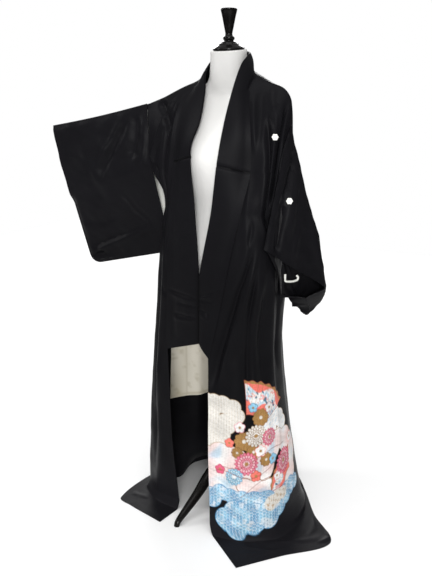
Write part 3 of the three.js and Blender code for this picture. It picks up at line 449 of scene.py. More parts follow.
# ---- the garment's surfaces ----
@dataclass
class Garment:
    """Surfaces of one half of the kimono, worked out from its tables."""

    side: Side
    knots: Array = field(init=False)
    runs: Array = field(init=False)
    heights: Array = field(init=False)

    def __post_init__(self) -> None:
        """Work out the collar's running lengths and their heights."""
        self.knots = run_lengths(self.collar_rows[:, :3])
        self.runs = np.linspace(self.knots[3], self.knots[-1], 3000)
        self.heights = spline(self.collar_rows[:, 2:3], self.knots, self.runs)[:, 0]

    @property
    def collar_rows(self) -> Array:
        """Return this side's collar table."""
        return COLLARS[self.side]

    def collar_at(self, run: Array) -> tuple[Array, Array]:
        """Return seam and free edge at lengths from the back of the neck."""
        both = spline(self.collar_rows, self.knots, run)
        return both[:, :3], both[:, 3:]

    def collar_run(self, z: Array) -> Array:
        """Return the length along the collar seam at which it passes a height."""
        return np.interp(-np.asarray(z, float), -self.heights, self.runs)

    def front_edge(self, z: float) -> Array:
        """Return x and y of the front edge at a height."""
        if z >= COLLAR_END:
            return self.collar_at(self.collar_run(z))[0][0, :2]
        table = EDGES[self.side]
        return spline(table[:, 1:], -table[:, 0], -z)[0]

    def stations(self, z: float, open_back: bool) -> Array:
        """Return the six plan stations of this half at a height."""
        rings = RINGS[self.side]
        row = spline(rings[:, 1:], -rings[:, 0], -z)[0].reshape(5, 2)
        found = np.vstack([self.front_edge(z), row])
        if open_back and z > SIDE_SEAM_TOP:
            part = (z - SIDE_SEAM_TOP) / (UNDERARM - SIDE_SEAM_TOP)
            found[3] += (np.array(OPEN_SIDE[self.side]) - found[3]) * part
        return found

    @staticmethod
    def on_stations(points: Array, columns: Array) -> Array:
        """Return points of the smooth plan curve at columns."""
        run = run_lengths(points)
        whole = np.minimum(4, np.floor(columns)).astype(int)
        at = run[whole] + (run[whole + 1] - run[whole]) * (columns - whole)
        return spline(points, run, at)

    def fold_out(self, columns: Array, z: float) -> Array:
        """Return how far the large folds push the cloth out."""
        total = np.zeros(len(columns))
        for fold in FOLDS[self.side]:
            way = (fold.from_z - z) / (fold.from_z - fold.to_z)
            centre = fold.from_column + (fold.to_column - fold.from_column) * min(1.15, max(-0.15, way))
            fade = min(1.0, max(0.0, min((way + 0.15) / 0.35, (1.15 - way) / 0.2)))
            aside = (columns - centre) * 90 / fold.wide
            total += fold.out * fade * np.exp(-aside * aside)
        return total

    def hanging(self, columns: Array, z: float, open_back: bool = False) -> Array:
        """Return one level row of the hanging cloth."""
        columns = np.asarray(columns, float)
        points = self.stations(z, open_back)
        here = self.on_stations(points, columns)
        before = self.on_stations(points, np.maximum(0, columns - 0.05))
        after = self.on_stations(points, np.minimum(5, columns + 0.05))
        along = after - before
        along /= np.linalg.norm(along, axis=1)[:, None]
        outward = np.stack([along[:, 1], -along[:, 0]], 1) * self.side.sign
        push = self.fold_out(columns, z)
        if z > COLLAR_END:
            push = np.where(columns < 0.01, 0, push)
        push = np.where(columns > 4.99, 0, push)
        plan = here + outward * push[:, None]
        row = np.column_stack([plan, np.full(len(columns), z)])
        return clear_of_legs(clear_of_form(row))

    def on_floor(self, columns: Array, way: float) -> Array:
        """Return one row of the cloth on the floor, from the bend (0) to the hem (1)."""
        start = self.hanging(columns, BEND_TOP)
        end = self.on_stations(HEMS[self.side].astype(float), np.asarray(columns, float))
        plan = start[:, :2] + (end - start[:, :2]) * way
        sink = max(0.0, 1 - way / 0.14)
        height = FLOOR_LIFT + (BEND_TOP - FLOOR_LIFT) * sink * sink
        return clear_of_legs(np.column_stack([plan, np.full(len(plan), height)]))

    def overlap_run(self, way: float) -> float:
        """Return the collar length beside the overlap's point at a part of the way down."""
        z = UNDERARM + (OVERLAP_TOP - UNDERARM) * (1 - way) / (1 - POINT_WAY)
        return float(self.collar_run(z))

    def inner_front(self, way: float) -> Array:
        """Return the inner end of a front row above the underarm."""
        if way >= POINT_WAY:
            edge = self.collar_at(self.overlap_run(way))[0][0]
            low = self.hanging([1.0], UNDERARM)[0]
            low_edge = self.collar_at(self.collar_run(UNDERARM))[0][0]
            part = 0.16 + 0.84 * (way - POINT_WAY) / (1 - POINT_WAY)
            return edge + (low - low_edge) * part
        low_run = float(self.collar_run(OVERLAP_TOP))
        return self.collar_at(self.knots[3] + (low_run - self.knots[3]) * way / POINT_WAY)[0][0]

    def inner_back(self, way: float) -> Array:
        """Return the inner end of a back row above the underarm."""
        if way <= NECK_WAY:
            return self.collar_at(self.knots[3] * (1 - way / NECK_WAY))[0][0]
        neck = self.collar_at(0.0)[0][0]
        low = self.hanging([5.0], UNDERARM, True)[0]
        t = (way - NECK_WAY) / (1 - NECK_WAY)
        parts = np.array([t, math.sin(math.pi / 2 * t) ** 0.8, t])
        return neck + (low - neck) * parts

    def upper(self, face: Face, across: Array, way: float) -> Array:
        """Return one row between shoulder line (0) and underarm ring (1)."""
        across = np.asarray(across, float)
        front = face is Face.FRONT
        shoulder = SHOULDERS[self.side].astype(float)
        run = run_lengths(shoulder)
        tops = spline(shoulder, run, run[-1] * np.concatenate([across, [0, 1]]))
        columns = 1 + 2 * across if front else 5 - 2 * across
        ends = [1.0, 3.0] if front else [5.0, 3.0]
        lows = self.hanging(np.concatenate([columns, ends]), UNDERARM, not front)
        ease = math.sin(math.pi / 2 * way) ** 0.75
        base = tops + (lows - tops) * np.array([way, ease, way])
        arm = ARMHOLES[(self.side, face)]
        outer = spline(arm[:, 1:], arm[:, 0], way)[0]
        inner = self.inner_front(way) if front else self.inner_back(way)
        inner_shift = (1 - across)[:, None] * (inner - base[-2])
        outer_shift = across[:, None] * (outer - base[-1])
        return clear_of_form(base[:-2] + inner_shift + outer_shift)

    def sleeve_start(self, face: Face, down: float) -> Array:
        """Return the sleeve's edge at the body."""
        arm = ARMHOLES[(self.side, face)]
        sewn = SEWN_WAY[self.side]
        clear = np.array([ARMHOLE_CLEAR * self.side.sign, 0, 0])
        if down <= CUFF_OPENING:
            return spline(arm[:, 1:], arm[:, 0], sewn * down / CUFF_OPENING)[0] + clear
        way = (down - CUFF_OPENING) / (SLEEVE_DEPTH - CUFF_OPENING)
        start = spline(arm[:, 1:], arm[:, 0], sewn)[0] + clear
        return start + (np.array(BAG_BOTTOM[self.side]) - start) * way**0.9

    def sleeve_point(self, face: Face, along: Array, down: Array) -> Array:
        """Return points of one sleeve layer by part along the arm and distance down."""
        cuffs = CUFFS[self.side]
        belly = BELLIES[self.side]
        first = 1 if face is Face.FRONT else 4
        stops = np.linspace(0, SLEEVE_DEPTH, 246)
        starts = np.array([self.sleeve_start(face, stop) for stop in stops])
        ends = spline(cuffs[:, first:first + 3], cuffs[:, 0], stops)
        depth = np.clip(down, 0, SLEEVE_DEPTH)
        start = np.stack([np.interp(depth, stops, starts[:, i]) for i in range(3)], -1)
        end = np.stack([np.interp(depth, stops, ends[:, i]) for i in range(3)], -1)
        rise = np.sin(math.pi * np.clip(along, 0, 1) ** belly.early)
        bulge = rise * np.sin(math.pi * depth / SLEEVE_DEPTH) ** 0.7
        out = (-1 if face is Face.FRONT else 1) * (belly.front if face is Face.FRONT else belly.back)
        sway = np.sin(math.pi * np.clip(along, 0, 1)) * (1 - depth / SLEEVE_DEPTH) ** 2
        flat = start + (end - start) * along[..., None]
        return flat + bulge[..., None] * out * np.array(belly.lean) + sway[..., None] * np.array(belly.sway)


GARMENTS = {side: Garment(side) for side in Side}


# ---- creases ----
@dataclass(frozen=True)
class Crease:
    """One trough or ridge on a panel.

    The path holds (column, height) places. Wide is the half width of the side before the
    path and wide_after of the other side, so that a fold can be steep on one side only.
    """

    path: tuple[tuple[float, float], ...]
    wide: float
    out: float
    wide_after: float = 0.0
    fade: float = 0.25


def crease_height(rows: Sequence[tuple], x: Array, y: Array, x_scale: float) -> Array:
    """Total height of creases over a panel.

    Args:
        rows: The creases' fields in order, with paths in the panel's own coordinates.
        x: First coordinate of each point.
        y: Second coordinate of each point, millimetres.
        x_scale: Millimetres in one unit of the first coordinate.

    Returns:
        How far each point moves out, in millimetres.
    """
    total = np.zeros(x.shape)
    for crease in (Crease(*row) for row in rows):
        path = np.array(crease.path, float) * (x_scale, 1)
        run = run_lengths(path)
        best = np.full(x.shape, 1e9)
        signed = np.zeros(x.shape)
        at = np.zeros(x.shape)
        for i in range(len(path) - 1):
            step = path[i + 1] - path[i]
            long = run[i + 1] - run[i]
            dx, dy = x * x_scale - path[i][0], y - path[i][1]
            t = np.clip((dx * step[0] + dy * step[1]) / long**2, 0, 1)
            far = np.hypot(dx - t * step[0], dy - t * step[1])
            turn = (dx * step[1] - dy * step[0]) / long
            closer = far < best
            best = np.where(closer, far, best)
            signed = np.where(closer, turn, signed)
            at = np.where(closer, (run[i] + t * long) / run[-1], at)
        wide = np.where(signed > 0, crease.wide_after or crease.wide, crease.wide)
        fade = smooth_step(0, crease.fade, at) * smooth_step(0, crease.fade, 1 - at)
        total += crease.out * fade * np.exp(-((best / wide) ** 2))
    return total


# Creases: path, wide, out, wide_after, fade.
PANEL_CREASES = {
    Side.LEFT: (
        (((1.3, 985), (0.95, 905), (0.62, 826), (0.42, 709), (0.3, 601), (0.17, 520), (0.1, 460)),
         8, -7.5, 15, 0.2),
        (((1.55, 985), (1.2, 890), (0.88, 800), (0.64, 690), (0.5, 580), (0.4, 480)), 17, 6.0, 13, 0.25),
        (((1.5, 970), (1.27, 870), (1.1, 740), (1.14, 565), (1.15, 380)), 7, -5.5, 15, 0.25),
        (((1.75, 960), (1.5, 840), (1.35, 700), (1.36, 540), (1.4, 400)), 15, 3.6, 20),
        (((1.62, 860), (1.58, 700), (1.62, 560)), 8, -2.6, 14),
        (((1.3, 1050), (1.1, 1000), (0.9, 965)), 10, -2.0),
        (((2.12, 1000), (2.1, 800), (2.2, 600), (2.3, 480), (2.3, 100)), 10, 3.4, 24),
        (((2.5, 960), (2.5, 760), (2.62, 520)), 10, -4.0),
        (((0.75, 660), (0.7, 560), (0.62, 330)), 16, 1.8),
        (((2.2, 470), (2.1, 300), (2.0, 120)), 20, -3.0),
        (((1.62, 1330), (1.73, 1275), (1.88, 1210), (1.97, 1158), (2.05, 1060), (2.1, 985)),
         8, -8.5, 14, 0.2),
        (((1.95, 1340), (2.03, 1269), (2.12, 1180), (2.2, 1080)), 11, 5.5, 11),
        (((2.2, 1393), (2.43, 1328), (2.4, 1282), (2.33, 1230), (2.37, 1165), (2.45, 1080)),
         8, -7.0, 13, 0.15),
        (((1.35, 1395), (1.45, 1330), (1.4, 1240)), 10, -2.6, 16),
        (((1.2, 1370), (1.18, 1300), (1.22, 1220)), 9, 2.0),
        (((1.6, 1395), (1.75, 1350), (1.9, 1330)), 10, 2.4),
        (((2.75, 1330), (2.7, 1200), (2.7, 1100)), 12, 3.0),
        (((3.2, 900), (3.3, 600), (3.25, 200)), 20, -5.0),
        (((3.8, 960), (3.9, 600), (4.0, 80)), 22, 6.0),
        (((4.2, 1000), (4.25, 700), (4.3, 120)), 16, -5.0),
        (((4.7, 940), (4.65, 600), (4.7, 60)), 20, 5.0),
        (((4.3, 1330), (3.9, 1220), (3.5, 1110)), 16, 2.6),
        (((4.6, 1250), (4.2, 1140), (3.8, 1020)), 14, -2.4),
        (((0.4, -20), (0.9, -70), (1.2, -150)), 12, 2.2),
        (((1.4, -10), (1.9, -60), (2.3, -150)), 14, 3.0),
        (((0.1, -90), (0.7, -110), (1.5, -95)), 10, 1.6),
        (((1.9, -120), (2.2, -152), (2.5, -158)), 9, 7.0, 7, 0.3),
        (((2.0, -60), (2.5, -90), (2.9, -120)), 12, 3.0),
    ),
    Side.RIGHT: (
        (((1.3, 980), (1.2, 700), (1.1, 400), (1.15, 60)), 14, -4.5, 22),
        (((1.7, 1030), (1.62, 700), (1.6, 300), (1.7, 60)), 10, 4.0, 22),
        (((0.0, 795), (0.3, 790), (0.7, 800)), 6, -2.4),
        (((0.3, 640), (0.9, 500), (1.2, 300)), 16, 2.4),
        (((2.55, 1392), (2.2, 1352), (1.87, 1318), (1.7, 1270)), 7, -7.5, 12, 0.15),
        (((1.7, 1372), (1.95, 1318), (2.3, 1268), (2.6, 1228), (2.85, 1197)), 10, 8.0, 10, 0.12),
        (((1.55, 1340), (1.75, 1270), (1.9, 1190), (1.95, 1110), (1.85, 1030)), 9, -6.5, 16, 0.15),
        (((2.35, 1190), (2.5, 1140), (2.7, 1100)), 10, -4.0),
        (((1.35, 1380), (1.35, 1250), (1.4, 1100)), 12, 2.5),
        (((3.4, 900), (3.5, 600), (3.5, 120)), 20, -5.0),
        (((4.0, 960), (4.0, 600), (4.1, 80)), 22, 5.0),
        (((4.6, 940), (4.55, 600), (4.6, 60)), 18, -5.0),
        (((4.3, 1330), (3.9, 1200), (3.4, 1090)), 16, 3.0),
        (((1.0, -20), (1.4, -50), (1.9, -90)), 12, 2.0),
    ),
}
COLLAR_CREASES = {
    Side.LEFT: (
        (((0.0, 118), (0.08, 160), (0.03, 200)), 5, -6.0, 7, 0.3),
        (((0.3, 786), (0.62, 796), (0.95, 800)), 5, -2.4),
        (((0.35, 812), (0.95, 808)), 6, 1.8),
        (((0.35, 830), (0.95, 822)), 5, -2.4),
        (((0.4, 878), (0.7, 872), (0.95, 866)), 5, -3.0),
        (((0.35, 900), (0.95, 890)), 7, 1.8),
        (((0.55, 800), (0.5, 900), (0.45, 990)), 7, -1.8),
    ),
    Side.RIGHT: (
        (((0.0, 806), (0.5, 812), (0.95, 818)), 5, -2.6),
        (((0.05, 822), (0.95, 832)), 6, 2.0),
        (((0.3, 846), (0.95, 850)), 5, -2.2),
        (((0.2, 884), (0.6, 890), (0.95, 894)), 5, -3.4),
        (((0.15, 902), (0.95, 912)), 7, 2.0),
        (((0.22, 800), (0.2, 900), (0.26, 1000)), 7, -2.4),
        (((0.6, 820), (0.68, 900)), 8, 1.8),
    ),
}
SLEEVE_CREASES = {
    (Side.RIGHT, Face.FRONT): (
        (((0.0, 40), (0.03, 130), (0.1, 230)), 10, 4.0, 14),
        (((0.1, 20), (0.12, 110), (0.2, 200)), 9, -5.0, 22),
        (((0.18, 30), (0.33, 110), (0.5, 189), (0.6, 230)), 9, -4.6, 20),
        (((0.26, 30), (0.42, 110), (0.6, 180)), 14, 3.2, 10),
        (((0.9, 60), (0.6, 210), (0.42, 330)), 20, 2.6),
        (((0.42, 250), (0.28, 330), (0.1, 400)), 12, -3.2),
        (((0.97, 452), (0.7, 432), (0.4, 412), (0.08, 396)), 8, 4.2, 16),
        (((0.97, 430), (0.7, 414), (0.4, 396)), 9, -3.6),
        (((0.99, 470), (0.88, 452), (0.76, 458)), 5, -4.4),
        (((0.95, 484), (0.8, 472), (0.66, 478)), 5, 3.0),
        (((0.96, 330), (0.7, 350), (0.45, 330)), 14, -2.2),
        (((0.52, 60), (0.46, 150), (0.5, 260)), 12, 2.2),
        (((0.75, 30), (0.7, 150), (0.66, 250)), 12, -2.0),
    ),
    (Side.RIGHT, Face.BACK): (
        (((0.1, 20), (0.2, 160), (0.35, 330)), 18, 3.5),
        (((0.8, 60), (0.6, 220), (0.5, 380)), 18, -3.0),
        (((0.95, 420), (0.6, 400), (0.2, 410)), 12, 2.5),
    ),
    (Side.LEFT, Face.BACK): (
        (((0.06, 66), (0.25, 52), (0.42, 45), (0.77, 49), (1.0, 52)), 7, -8.5, 18, 0.1),
        (((0.2, 84), (0.45, 74), (0.8, 84)), 12, 3.0),
        (((0.3, 150), (0.6, 190), (0.9, 230)), 16, 3.6, 24),
        (((0.25, 260), (0.6, 270), (0.92, 300)), 16, -3.0),
        (((0.5, 330), (0.75, 360), (0.95, 400)), 14, 3.5),
        (((0.98, 120), (0.8, 112), (0.6, 120)), 8, 2.5),
    ),
    (Side.LEFT, Face.FRONT): (
        (((0.98, 150), (0.8, 190), (0.6, 260)), 12, 4.0),
        (((0.98, 250), (0.85, 300), (0.7, 380)), 12, -5.5),
        (((0.98, 330), (0.85, 370), (0.75, 430)), 10, 5.0),
        (((0.96, 420), (0.8, 430), (0.6, 440)), 9, -4.5),
    ),
}


# ---- panels as grids ----
@dataclass
class Sheet:
    """Grid of points of a piece's middle surface, with its flat coordinates.

    Points run down in rows and across in columns. Flat holds metres for the weave, dye a colour and its cover
    where the silk is painted, with print and also painted shade, through says that it shows on both sides.
    """

    points: Array
    flat: Array
    outward: Array
    dye: Array | None = None
    through: bool = False

    @property
    def normals(self) -> Array:
        """Return unit normals that look away from the wearer."""
        down = np.gradient(self.points, axis=0)
        across = np.gradient(self.points, axis=1)
        found = np.cross(across, down)
        long = np.linalg.norm(found, axis=2, keepdims=True)
        found = np.where(long > 1e-6, found / np.maximum(long, 1e-6), self.outward)
        turn = np.sign(np.sum(found * self.outward))
        return found * (turn or 1)

    def pushed(self, height: Array) -> "Sheet":
        """Return the sheet with each point moved along its normal."""
        return Sheet(self.points + self.normals * height[..., None], self.flat, self.outward, self.dye)

    def part(self, rows: slice, columns: slice) -> "Sheet":
        """Return a part of the sheet."""
        dye = None if self.dye is None else self.dye[rows, columns]
        return Sheet(
            self.points[rows, columns], self.flat[rows, columns], self.outward[rows, columns], dye)

    def area(self) -> float:
        """Return the sheet's area in square metres."""
        p = self.points * MM
        across, down = p[1:, 1:] - p[:-1, :-1], p[1:, :-1] - p[:-1, 1:]
        return float(np.linalg.norm(np.cross(across, down), axis=2).sum() / 2)


def away_from_axis(points: Array) -> Array:
    """Return directions from the upright axis to each point."""
    return points * (1, 1, 0.02)


def flat_grid(points: Array) -> Array:
    """Return flat coordinates in metres from the lengths along the middle row and column."""
    down = run_lengths(points[:, points.shape[1] // 2])
    across = run_lengths(points[points.shape[0] // 2])
    return np.stack(np.meshgrid(across, down), -1) * MM


def skin(outer: Array, inner: Array, step: int) -> tuple[Array, list[tuple[int, ...]], int]:
    """Close an outer and an inner grid into one wall.

    Args:
        outer: Outer points, rows by columns.
        inner: Inner points, every step-th row and column of the same grid.
        step: How many outer cells face one inner cell.

    Returns:
        All points, the faces, and the number of outer points.
    """
    rows, columns = outer.shape[:2]
    inner_rows, inner_columns = inner.shape[:2]
    count = rows * columns
    top = np.arange(count).reshape(rows, columns)
    low = np.arange(inner_rows * inner_columns).reshape(inner_rows, inner_columns) + count
    def quads(grid: Array) -> Array:
        """Return the four corners of each cell."""
        return np.stack([grid[:-1, :-1], grid[1:, :-1], grid[1:, 1:], grid[:-1, 1:]], -1).reshape(-1, 4)
    faces = [tuple(int(v) for v in quad) for quad in quads(top)]
    faces += [tuple(int(v) for v in quad[::-1]) for quad in quads(low)]
    borders = (
        (top[0], low[0]), (top[:, -1], low[:, -1]),
        (top[-1, ::-1], low[-1, ::-1]), (top[::-1, 0], low[::-1, 0]),
    )
    for upper_edge, lower_edge in borders:
        for k in range(len(lower_edge) - 1):
            for j in range(k * step, (k + 1) * step):
                faces.append((int(upper_edge[j]), int(upper_edge[j + 1]), int(lower_edge[k])))
            last = int(upper_edge[(k + 1) * step])
            faces.append((last, int(lower_edge[k + 1]), int(lower_edge[k])))
    points = np.vstack([outer.reshape(-1, 3), inner.reshape(-1, 3)])
    return points, faces, count


def even(count: int, step: int) -> int:
    """Return the next count of stops whose cells divide by the step."""
    return int(math.ceil((count - 1) / step) * step + 1)


@dataclass
class Placer:
    """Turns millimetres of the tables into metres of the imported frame."""

    origin: Array = field(init=False)

    def __post_init__(self) -> None:
        """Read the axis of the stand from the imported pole."""
        low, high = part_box("pole")
        z = low[2] - (HUB_TOP + FINIAL_GAP) * MM
        self.origin = np.array([(low[0] + high[0]) / 2, (low[1] + high[1]) / 2, z])

    def place(self, points: Array) -> Array:
        """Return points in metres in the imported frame."""
        return np.asarray(points, float) * MM + self.origin


PLACER = Placer()


def new_object(name: str, points: Array, faces: Sequence[Sequence[int]]) -> bpy.types.Object:
    """Make an object from points in millimetres.

    Args:
        name: Name of the piece.
        points: Points in the tables' frame.
        faces: Corners of each face.

    Returns:
        The new object, linked to the scene.
    """
    mesh = bpy.data.meshes.new(name)
    mesh.from_pydata(PLACER.place(points).tolist(), [], [list(face) for face in faces])
    mesh.update()
    mesh.shade_smooth()
    item = bpy.data.objects.new(name, mesh)
    bpy.context.scene.collection.objects.link(item)
    return item


def wall_object(
    name: str, sheets: Sequence[Sheet], thickness: float, shift: float = 0.0, step: int = 1
) -> bpy.types.Object:
    """Build closed walls over sheets as one piece of cloth.

    Args:
        name: Name of the piece.
        sheets: Middle surfaces.
        thickness: Wall thickness, millimetres.
        shift: Offset of the wall along its normals, millimetres.
        step: Outer cells to one inner cell.

    Returns:
        The new object, with flat coordinates, dye and sharp rims.
    """
    points: list[Array] = []
    faces: list[tuple[int, ...]] = []
    flats: list[Array] = []
    dyes: list[Array] = []
    start = 0
    for sheet in sheets:
        normals = sheet.normals
        outer = sheet.points + normals * (shift + thickness / 2)
        inner = (sheet.points + normals * (shift - thickness / 2))[::step, ::step]
        body, cells, count = skin(outer, inner, step)
        turned = np.sum(np.cross(
            outer[1, 0] - outer[0, 0], outer[0, 1] - outer[0, 0]) * normals[0, 0]) < 0
        cells = [cell[::-1] for cell in cells] if turned else cells
        faces += [tuple(start + v for v in cell) for cell in cells]
        points.append(body)
        flats.append(np.vstack([sheet.flat.reshape(-1, 2), sheet.flat[::step, ::step].reshape(-1, 2)]))
        dye = np.zeros((len(body), 4))
        if sheet.dye is not None:
            dye[:count] = sheet.dye.reshape(-1, 4)
            if sheet.through:
                dye[count:] = sheet.dye[::step, ::step].reshape(-1, 4)
        dyes.append(dye)
        start += len(body)
    item = new_object(name, np.vstack(points), faces)
    mesh = item.data
    sharpen_rims(mesh)
    corners = np.empty(len(mesh.loops), int)
    mesh.loops.foreach_get("vertex_index", corners)
    weave = mesh.uv_layers.new(name="weave")
    weave.data.foreach_set("uv", np.vstack(flats)[corners].astype(np.float32).ravel())
    colours = mesh.color_attributes.new("dye", "FLOAT_COLOR", "POINT")
    colours.data.foreach_set("color", np.vstack(dyes).astype(np.float32).ravel())
    return item


def sharpen_rims(mesh: bpy.types.Mesh, angle: float = RIM_ANGLE) -> None:
    """Mark edges sharper than an angle so that a wall's rim doesn't shade its face."""
    mesh.set_sharp_from_angle(angle=math.radians(angle))


# ---- finishes ----
@dataclass
class NodePen:
    """Short hand for drawing the node tree of a material or world."""

    owner: bpy.types.Material | bpy.types.World

    @property
    def tree(self) -> bpy.types.NodeTree:
        """Return the node tree."""
        return self.owner.node_tree

    def feed(self, socket: Socket, value: object) -> None:
        """Join a socket to another one, or set it to a number or colour."""
        if isinstance(value, Socket):
            self.tree.links.new(value, socket)
        else:
            socket.default_value = value

    def surface(self, name: str, value: object) -> None:
        """Feed one input of the surface shader."""
        self.feed(self.tree.nodes["Principled BSDF"].inputs[name], value)

    def node(self, kind: str, feeds: Feeds | None = None, **values: object) -> bpy.types.Node:
        """Add a node.

        Args:
            kind: Blender's name of the node.
            feeds: What its inputs are fed with, by name or number.
            **values: Its plain properties.

        Returns:
            The new node.
        """
        item = self.tree.nodes.new(kind)
        for key, value in values.items():
            setattr(item, key, value)
        for key, value in (feeds or {}).items():
            self.feed(item.inputs[key], value)
        return item

    def coordinates(self, kind: str = "Object") -> Socket:
        """Return a coordinate socket of the object."""
        return self.node("ShaderNodeTexCoord").outputs[kind]

    def noise(self, source: Socket, scale: float, detail: float = 2.0) -> Socket:
        """Return a noise factor over coordinates."""
        feeds = {"Scale": scale, "Detail": detail, "Vector": source}
        return self.node("ShaderNodeTexNoise", feeds).outputs["Fac"]

    def wave(self, source: Socket, scale: float, direction: str) -> Socket:
        """Return the factor of straight bands along one axis."""
        feeds = {"Scale": scale, "Distortion": 0.6, "Detail": 1.0, "Vector": source}
        item = self.node("ShaderNodeTexWave", feeds, wave_type="BANDS", bands_direction=direction)
        return item.outputs["Fac"]

    def ramp(self, source: Socket, stops: Sequence[tuple[float, Sequence[float]]]) -> Socket:
        """Return a colour ramp over a factor."""
        item = self.node("ShaderNodeValToRGB", {"Fac": source})
        while len(item.color_ramp.elements) < len(stops):
            item.color_ramp.elements.new(0.5)
        for element, (place, colour) in zip(item.color_ramp.elements, stops):
            element.position = place
            element.color = (*colour, 1)
        return item.outputs["Color"]

    def span(self, source: Socket, low: float, high: float) -> Socket:
        """Return a factor mapped from 0..1 to low..high."""
        feeds = {"To Min": low, "To Max": high, "Value": source}
        return self.node("ShaderNodeMapRange", feeds).outputs["Result"]

    def height(self, place: Socket, low: float, high: float) -> Socket:
        """Return a factor that rises from 0 at one height to 1 at another, in metres."""
        split = self.node("ShaderNodeSeparateXYZ", {0: place})
        feeds = {"From Min": low, "From Max": high, "Value": split.outputs["Z"]}
        return self.node("ShaderNodeMapRange", feeds).outputs["Result"]

    def mix(self, factor: Socket, first: object, second: object) -> Socket:
        """Return two colours mixed by a factor; each may be a socket or a colour."""
        item = self.node("ShaderNodeMix", {"Factor": factor}, data_type="RGBA")
        for name, value in (("A", first), ("B", second)):
            socket = [s for s in item.inputs if s.name == name and s.type == "RGBA"][0]
            self.feed(socket, value if isinstance(value, Socket) else (*value, 1))
        return [s for s in item.outputs if s.type == "RGBA"][0]

    def math(self, operation: str, first: object, second: object) -> Socket:
        """Return the result of one sum; each term may be a socket or a number."""
        return self.node("ShaderNodeMath", {0: first, 1: second}, operation=operation).outputs["Value"]

    def vector_math(self, operation: str, feeds: Feeds) -> Socket:
        """Return the vector result of one sum."""
        return self.node("ShaderNodeVectorMath", feeds, operation=operation).outputs["Vector"]

    def bump(self, height: Socket, distance: float, strength: float = 1.0) -> None:
        """Drive the shader's normal by a height, the distance in metres."""
        item = self.node("ShaderNodeBump", {"Strength": strength, "Distance": distance, "Height": height})
        previous = self.tree.nodes["Principled BSDF"].inputs["Normal"].links
        if previous:
            self.feed(item.inputs["Normal"], previous[0].from_socket)
        self.surface("Normal", item.outputs["Normal"])


@dataclass(frozen=True)
class Finish:
    """Surface finish of one material."""

    name: str
    colour: Triple
    roughness: float = 0.6
    specular: float = 0.3
    sheen: float = 0.0
    sheen_roughness: float = 0.5
    sheen_tint: Triple = (1, 1, 1)
    metallic: float = 0.0
    slot: str = "white_silk"

    def material(self) -> bpy.types.Material:
        """Return the dressed material, made once."""
        found = bpy.data.materials.get(self.name)
        if found:
            return found
        made = bpy.data.materials.new(self.name)
        made.use_nodes = True
        pen = NodePen(made)
        for name, value in (
            ("Base Color", (*self.colour, 1)), ("Roughness", self.roughness),
            ("Specular IOR Level", self.specular), ("Sheen Weight", self.sheen),
            ("Sheen Roughness", self.sheen_roughness), ("Sheen Tint", (*self.sheen_tint, 1)),
            ("Metallic", self.metallic),
        ):
            pen.surface(name, value)
        self.dress(pen)
        return made

    def dress(self, pen: NodePen) -> None:
        """Draw the finish's own detail."""
        raise NotImplementedError


def scaled(colour: Sequence[float], factor: float) -> Triple:
    """Return a colour made lighter or darker."""
    return tuple(min(1.0, c * factor) for c in colour)


@dataclass(frozen=True)
class SilkCrepe(Finish):
    """Black or white silk crepe: fine pebbled weave, soft sheen, dye painted on it, and painted shade by
    height where set.
    """

    pebble: float = 0.00008
    variation: float = 0.12
    dyed: bool = True
    # Painted shade: colour factors over parts of the height tall.
    painted_height_shade: tuple[tuple[float, float], ...] = ()
    tall: float = 1.6

    def dress(self, pen: NodePen) -> None:
        """Draw weave, variation, painted shade by height where set, and dye."""
        flat = pen.coordinates("UV")
        place = pen.coordinates("Object")
        weft = pen.wave(flat, 420, "Y")
        grain = pen.noise(flat, 900, 3)
        weave = pen.math("ADD", pen.math("MULTIPLY", weft, 0.35), grain)
        pen.bump(weave, self.pebble)
        slub = pen.noise(place, 9, 4)
        deep, pale = (scaled(self.colour, 1 + way * self.variation) for way in (-1, 1))
        ground = pen.mix(slub, deep, pale)
        fine = pen.noise(flat, 340, 2)
        ground = pen.mix(pen.span(fine, 0, 0.25), ground, scaled(self.colour, 1.5))
        rough = pen.span(pen.noise(place, 26, 3), self.roughness - 0.05, self.roughness + 0.07)
        pen.surface("Roughness", rough)
        # Painted shade by height over the ground colour.
        if self.painted_height_shade:
            ground = self.painted_shade_by_height(pen, place, ground)
        if not self.dyed:
            pen.surface("Base Color", ground)
            return
        # The dye attribute carries printed colour and also painted shade: seam shadows on the collar, shade
        # at the lining's foot and fold.
        dye = pen.node("ShaderNodeAttribute", attribute_name="dye")
        speck = pen.noise(flat, 210, 2)
        tone = pen.span(speck, 0.86, 1.12)
        shade = pen.vector_math("SCALE", {0: dye.outputs["Color"], "Scale": tone})
        painted = pen.mix(dye.outputs["Alpha"], ground, shade)
        pen.surface("Base Color", painted)

    def painted_shade_by_height(self, pen: NodePen, place: Socket, ground: Socket) -> Socket:
        """Return the ground colour with painted shade by height: darker on the hanging skirt, paler on the
        cloth on the floor.
        """
        tall = pen.height(place, 0.0, self.tall)
        shade = pen.ramp(tall, tuple((at, (part,) * 3) for at, part in self.painted_height_shade))
        return pen.vector_math("MULTIPLY", {0: ground, 1: shade})


@dataclass(frozen=True)
class Jersey(Finish):
    """White knit cover of the dress form, with painted shade that makes it greyer towards the neck."""

    # Painted shade: colour factor at the neck, reached between two heights in metres.
    neck: float = 0.8
    neck_from: float = 1.22
    neck_to: float = 1.46

    def dress(self, pen: NodePen) -> None:
        """Draw knit ribs, a faint unevenness and painted shade towards the neck."""
        place = pen.coordinates("Object")
        ribs = pen.wave(place, 260, "X")
        rows = pen.wave(place, 300, "Z")
        knit = pen.math("ADD", ribs, rows)
        pen.bump(knit, 0.00012)
        pen.bump(pen.noise(place, 34, 4), 0.0012, 0.35)
        tone = pen.mix(pen.noise(place, 12, 4), scaled(self.colour, 0.97), scaled(self.colour, 1.02))
        # Painted shade: greyer from neck_from up to neck_to.
        tall = pen.height(place, self.neck_from, self.neck_to)
        tone = pen.mix(tall, tone, scaled(self.colour, self.neck))
        pen.surface("Base Color", tone)


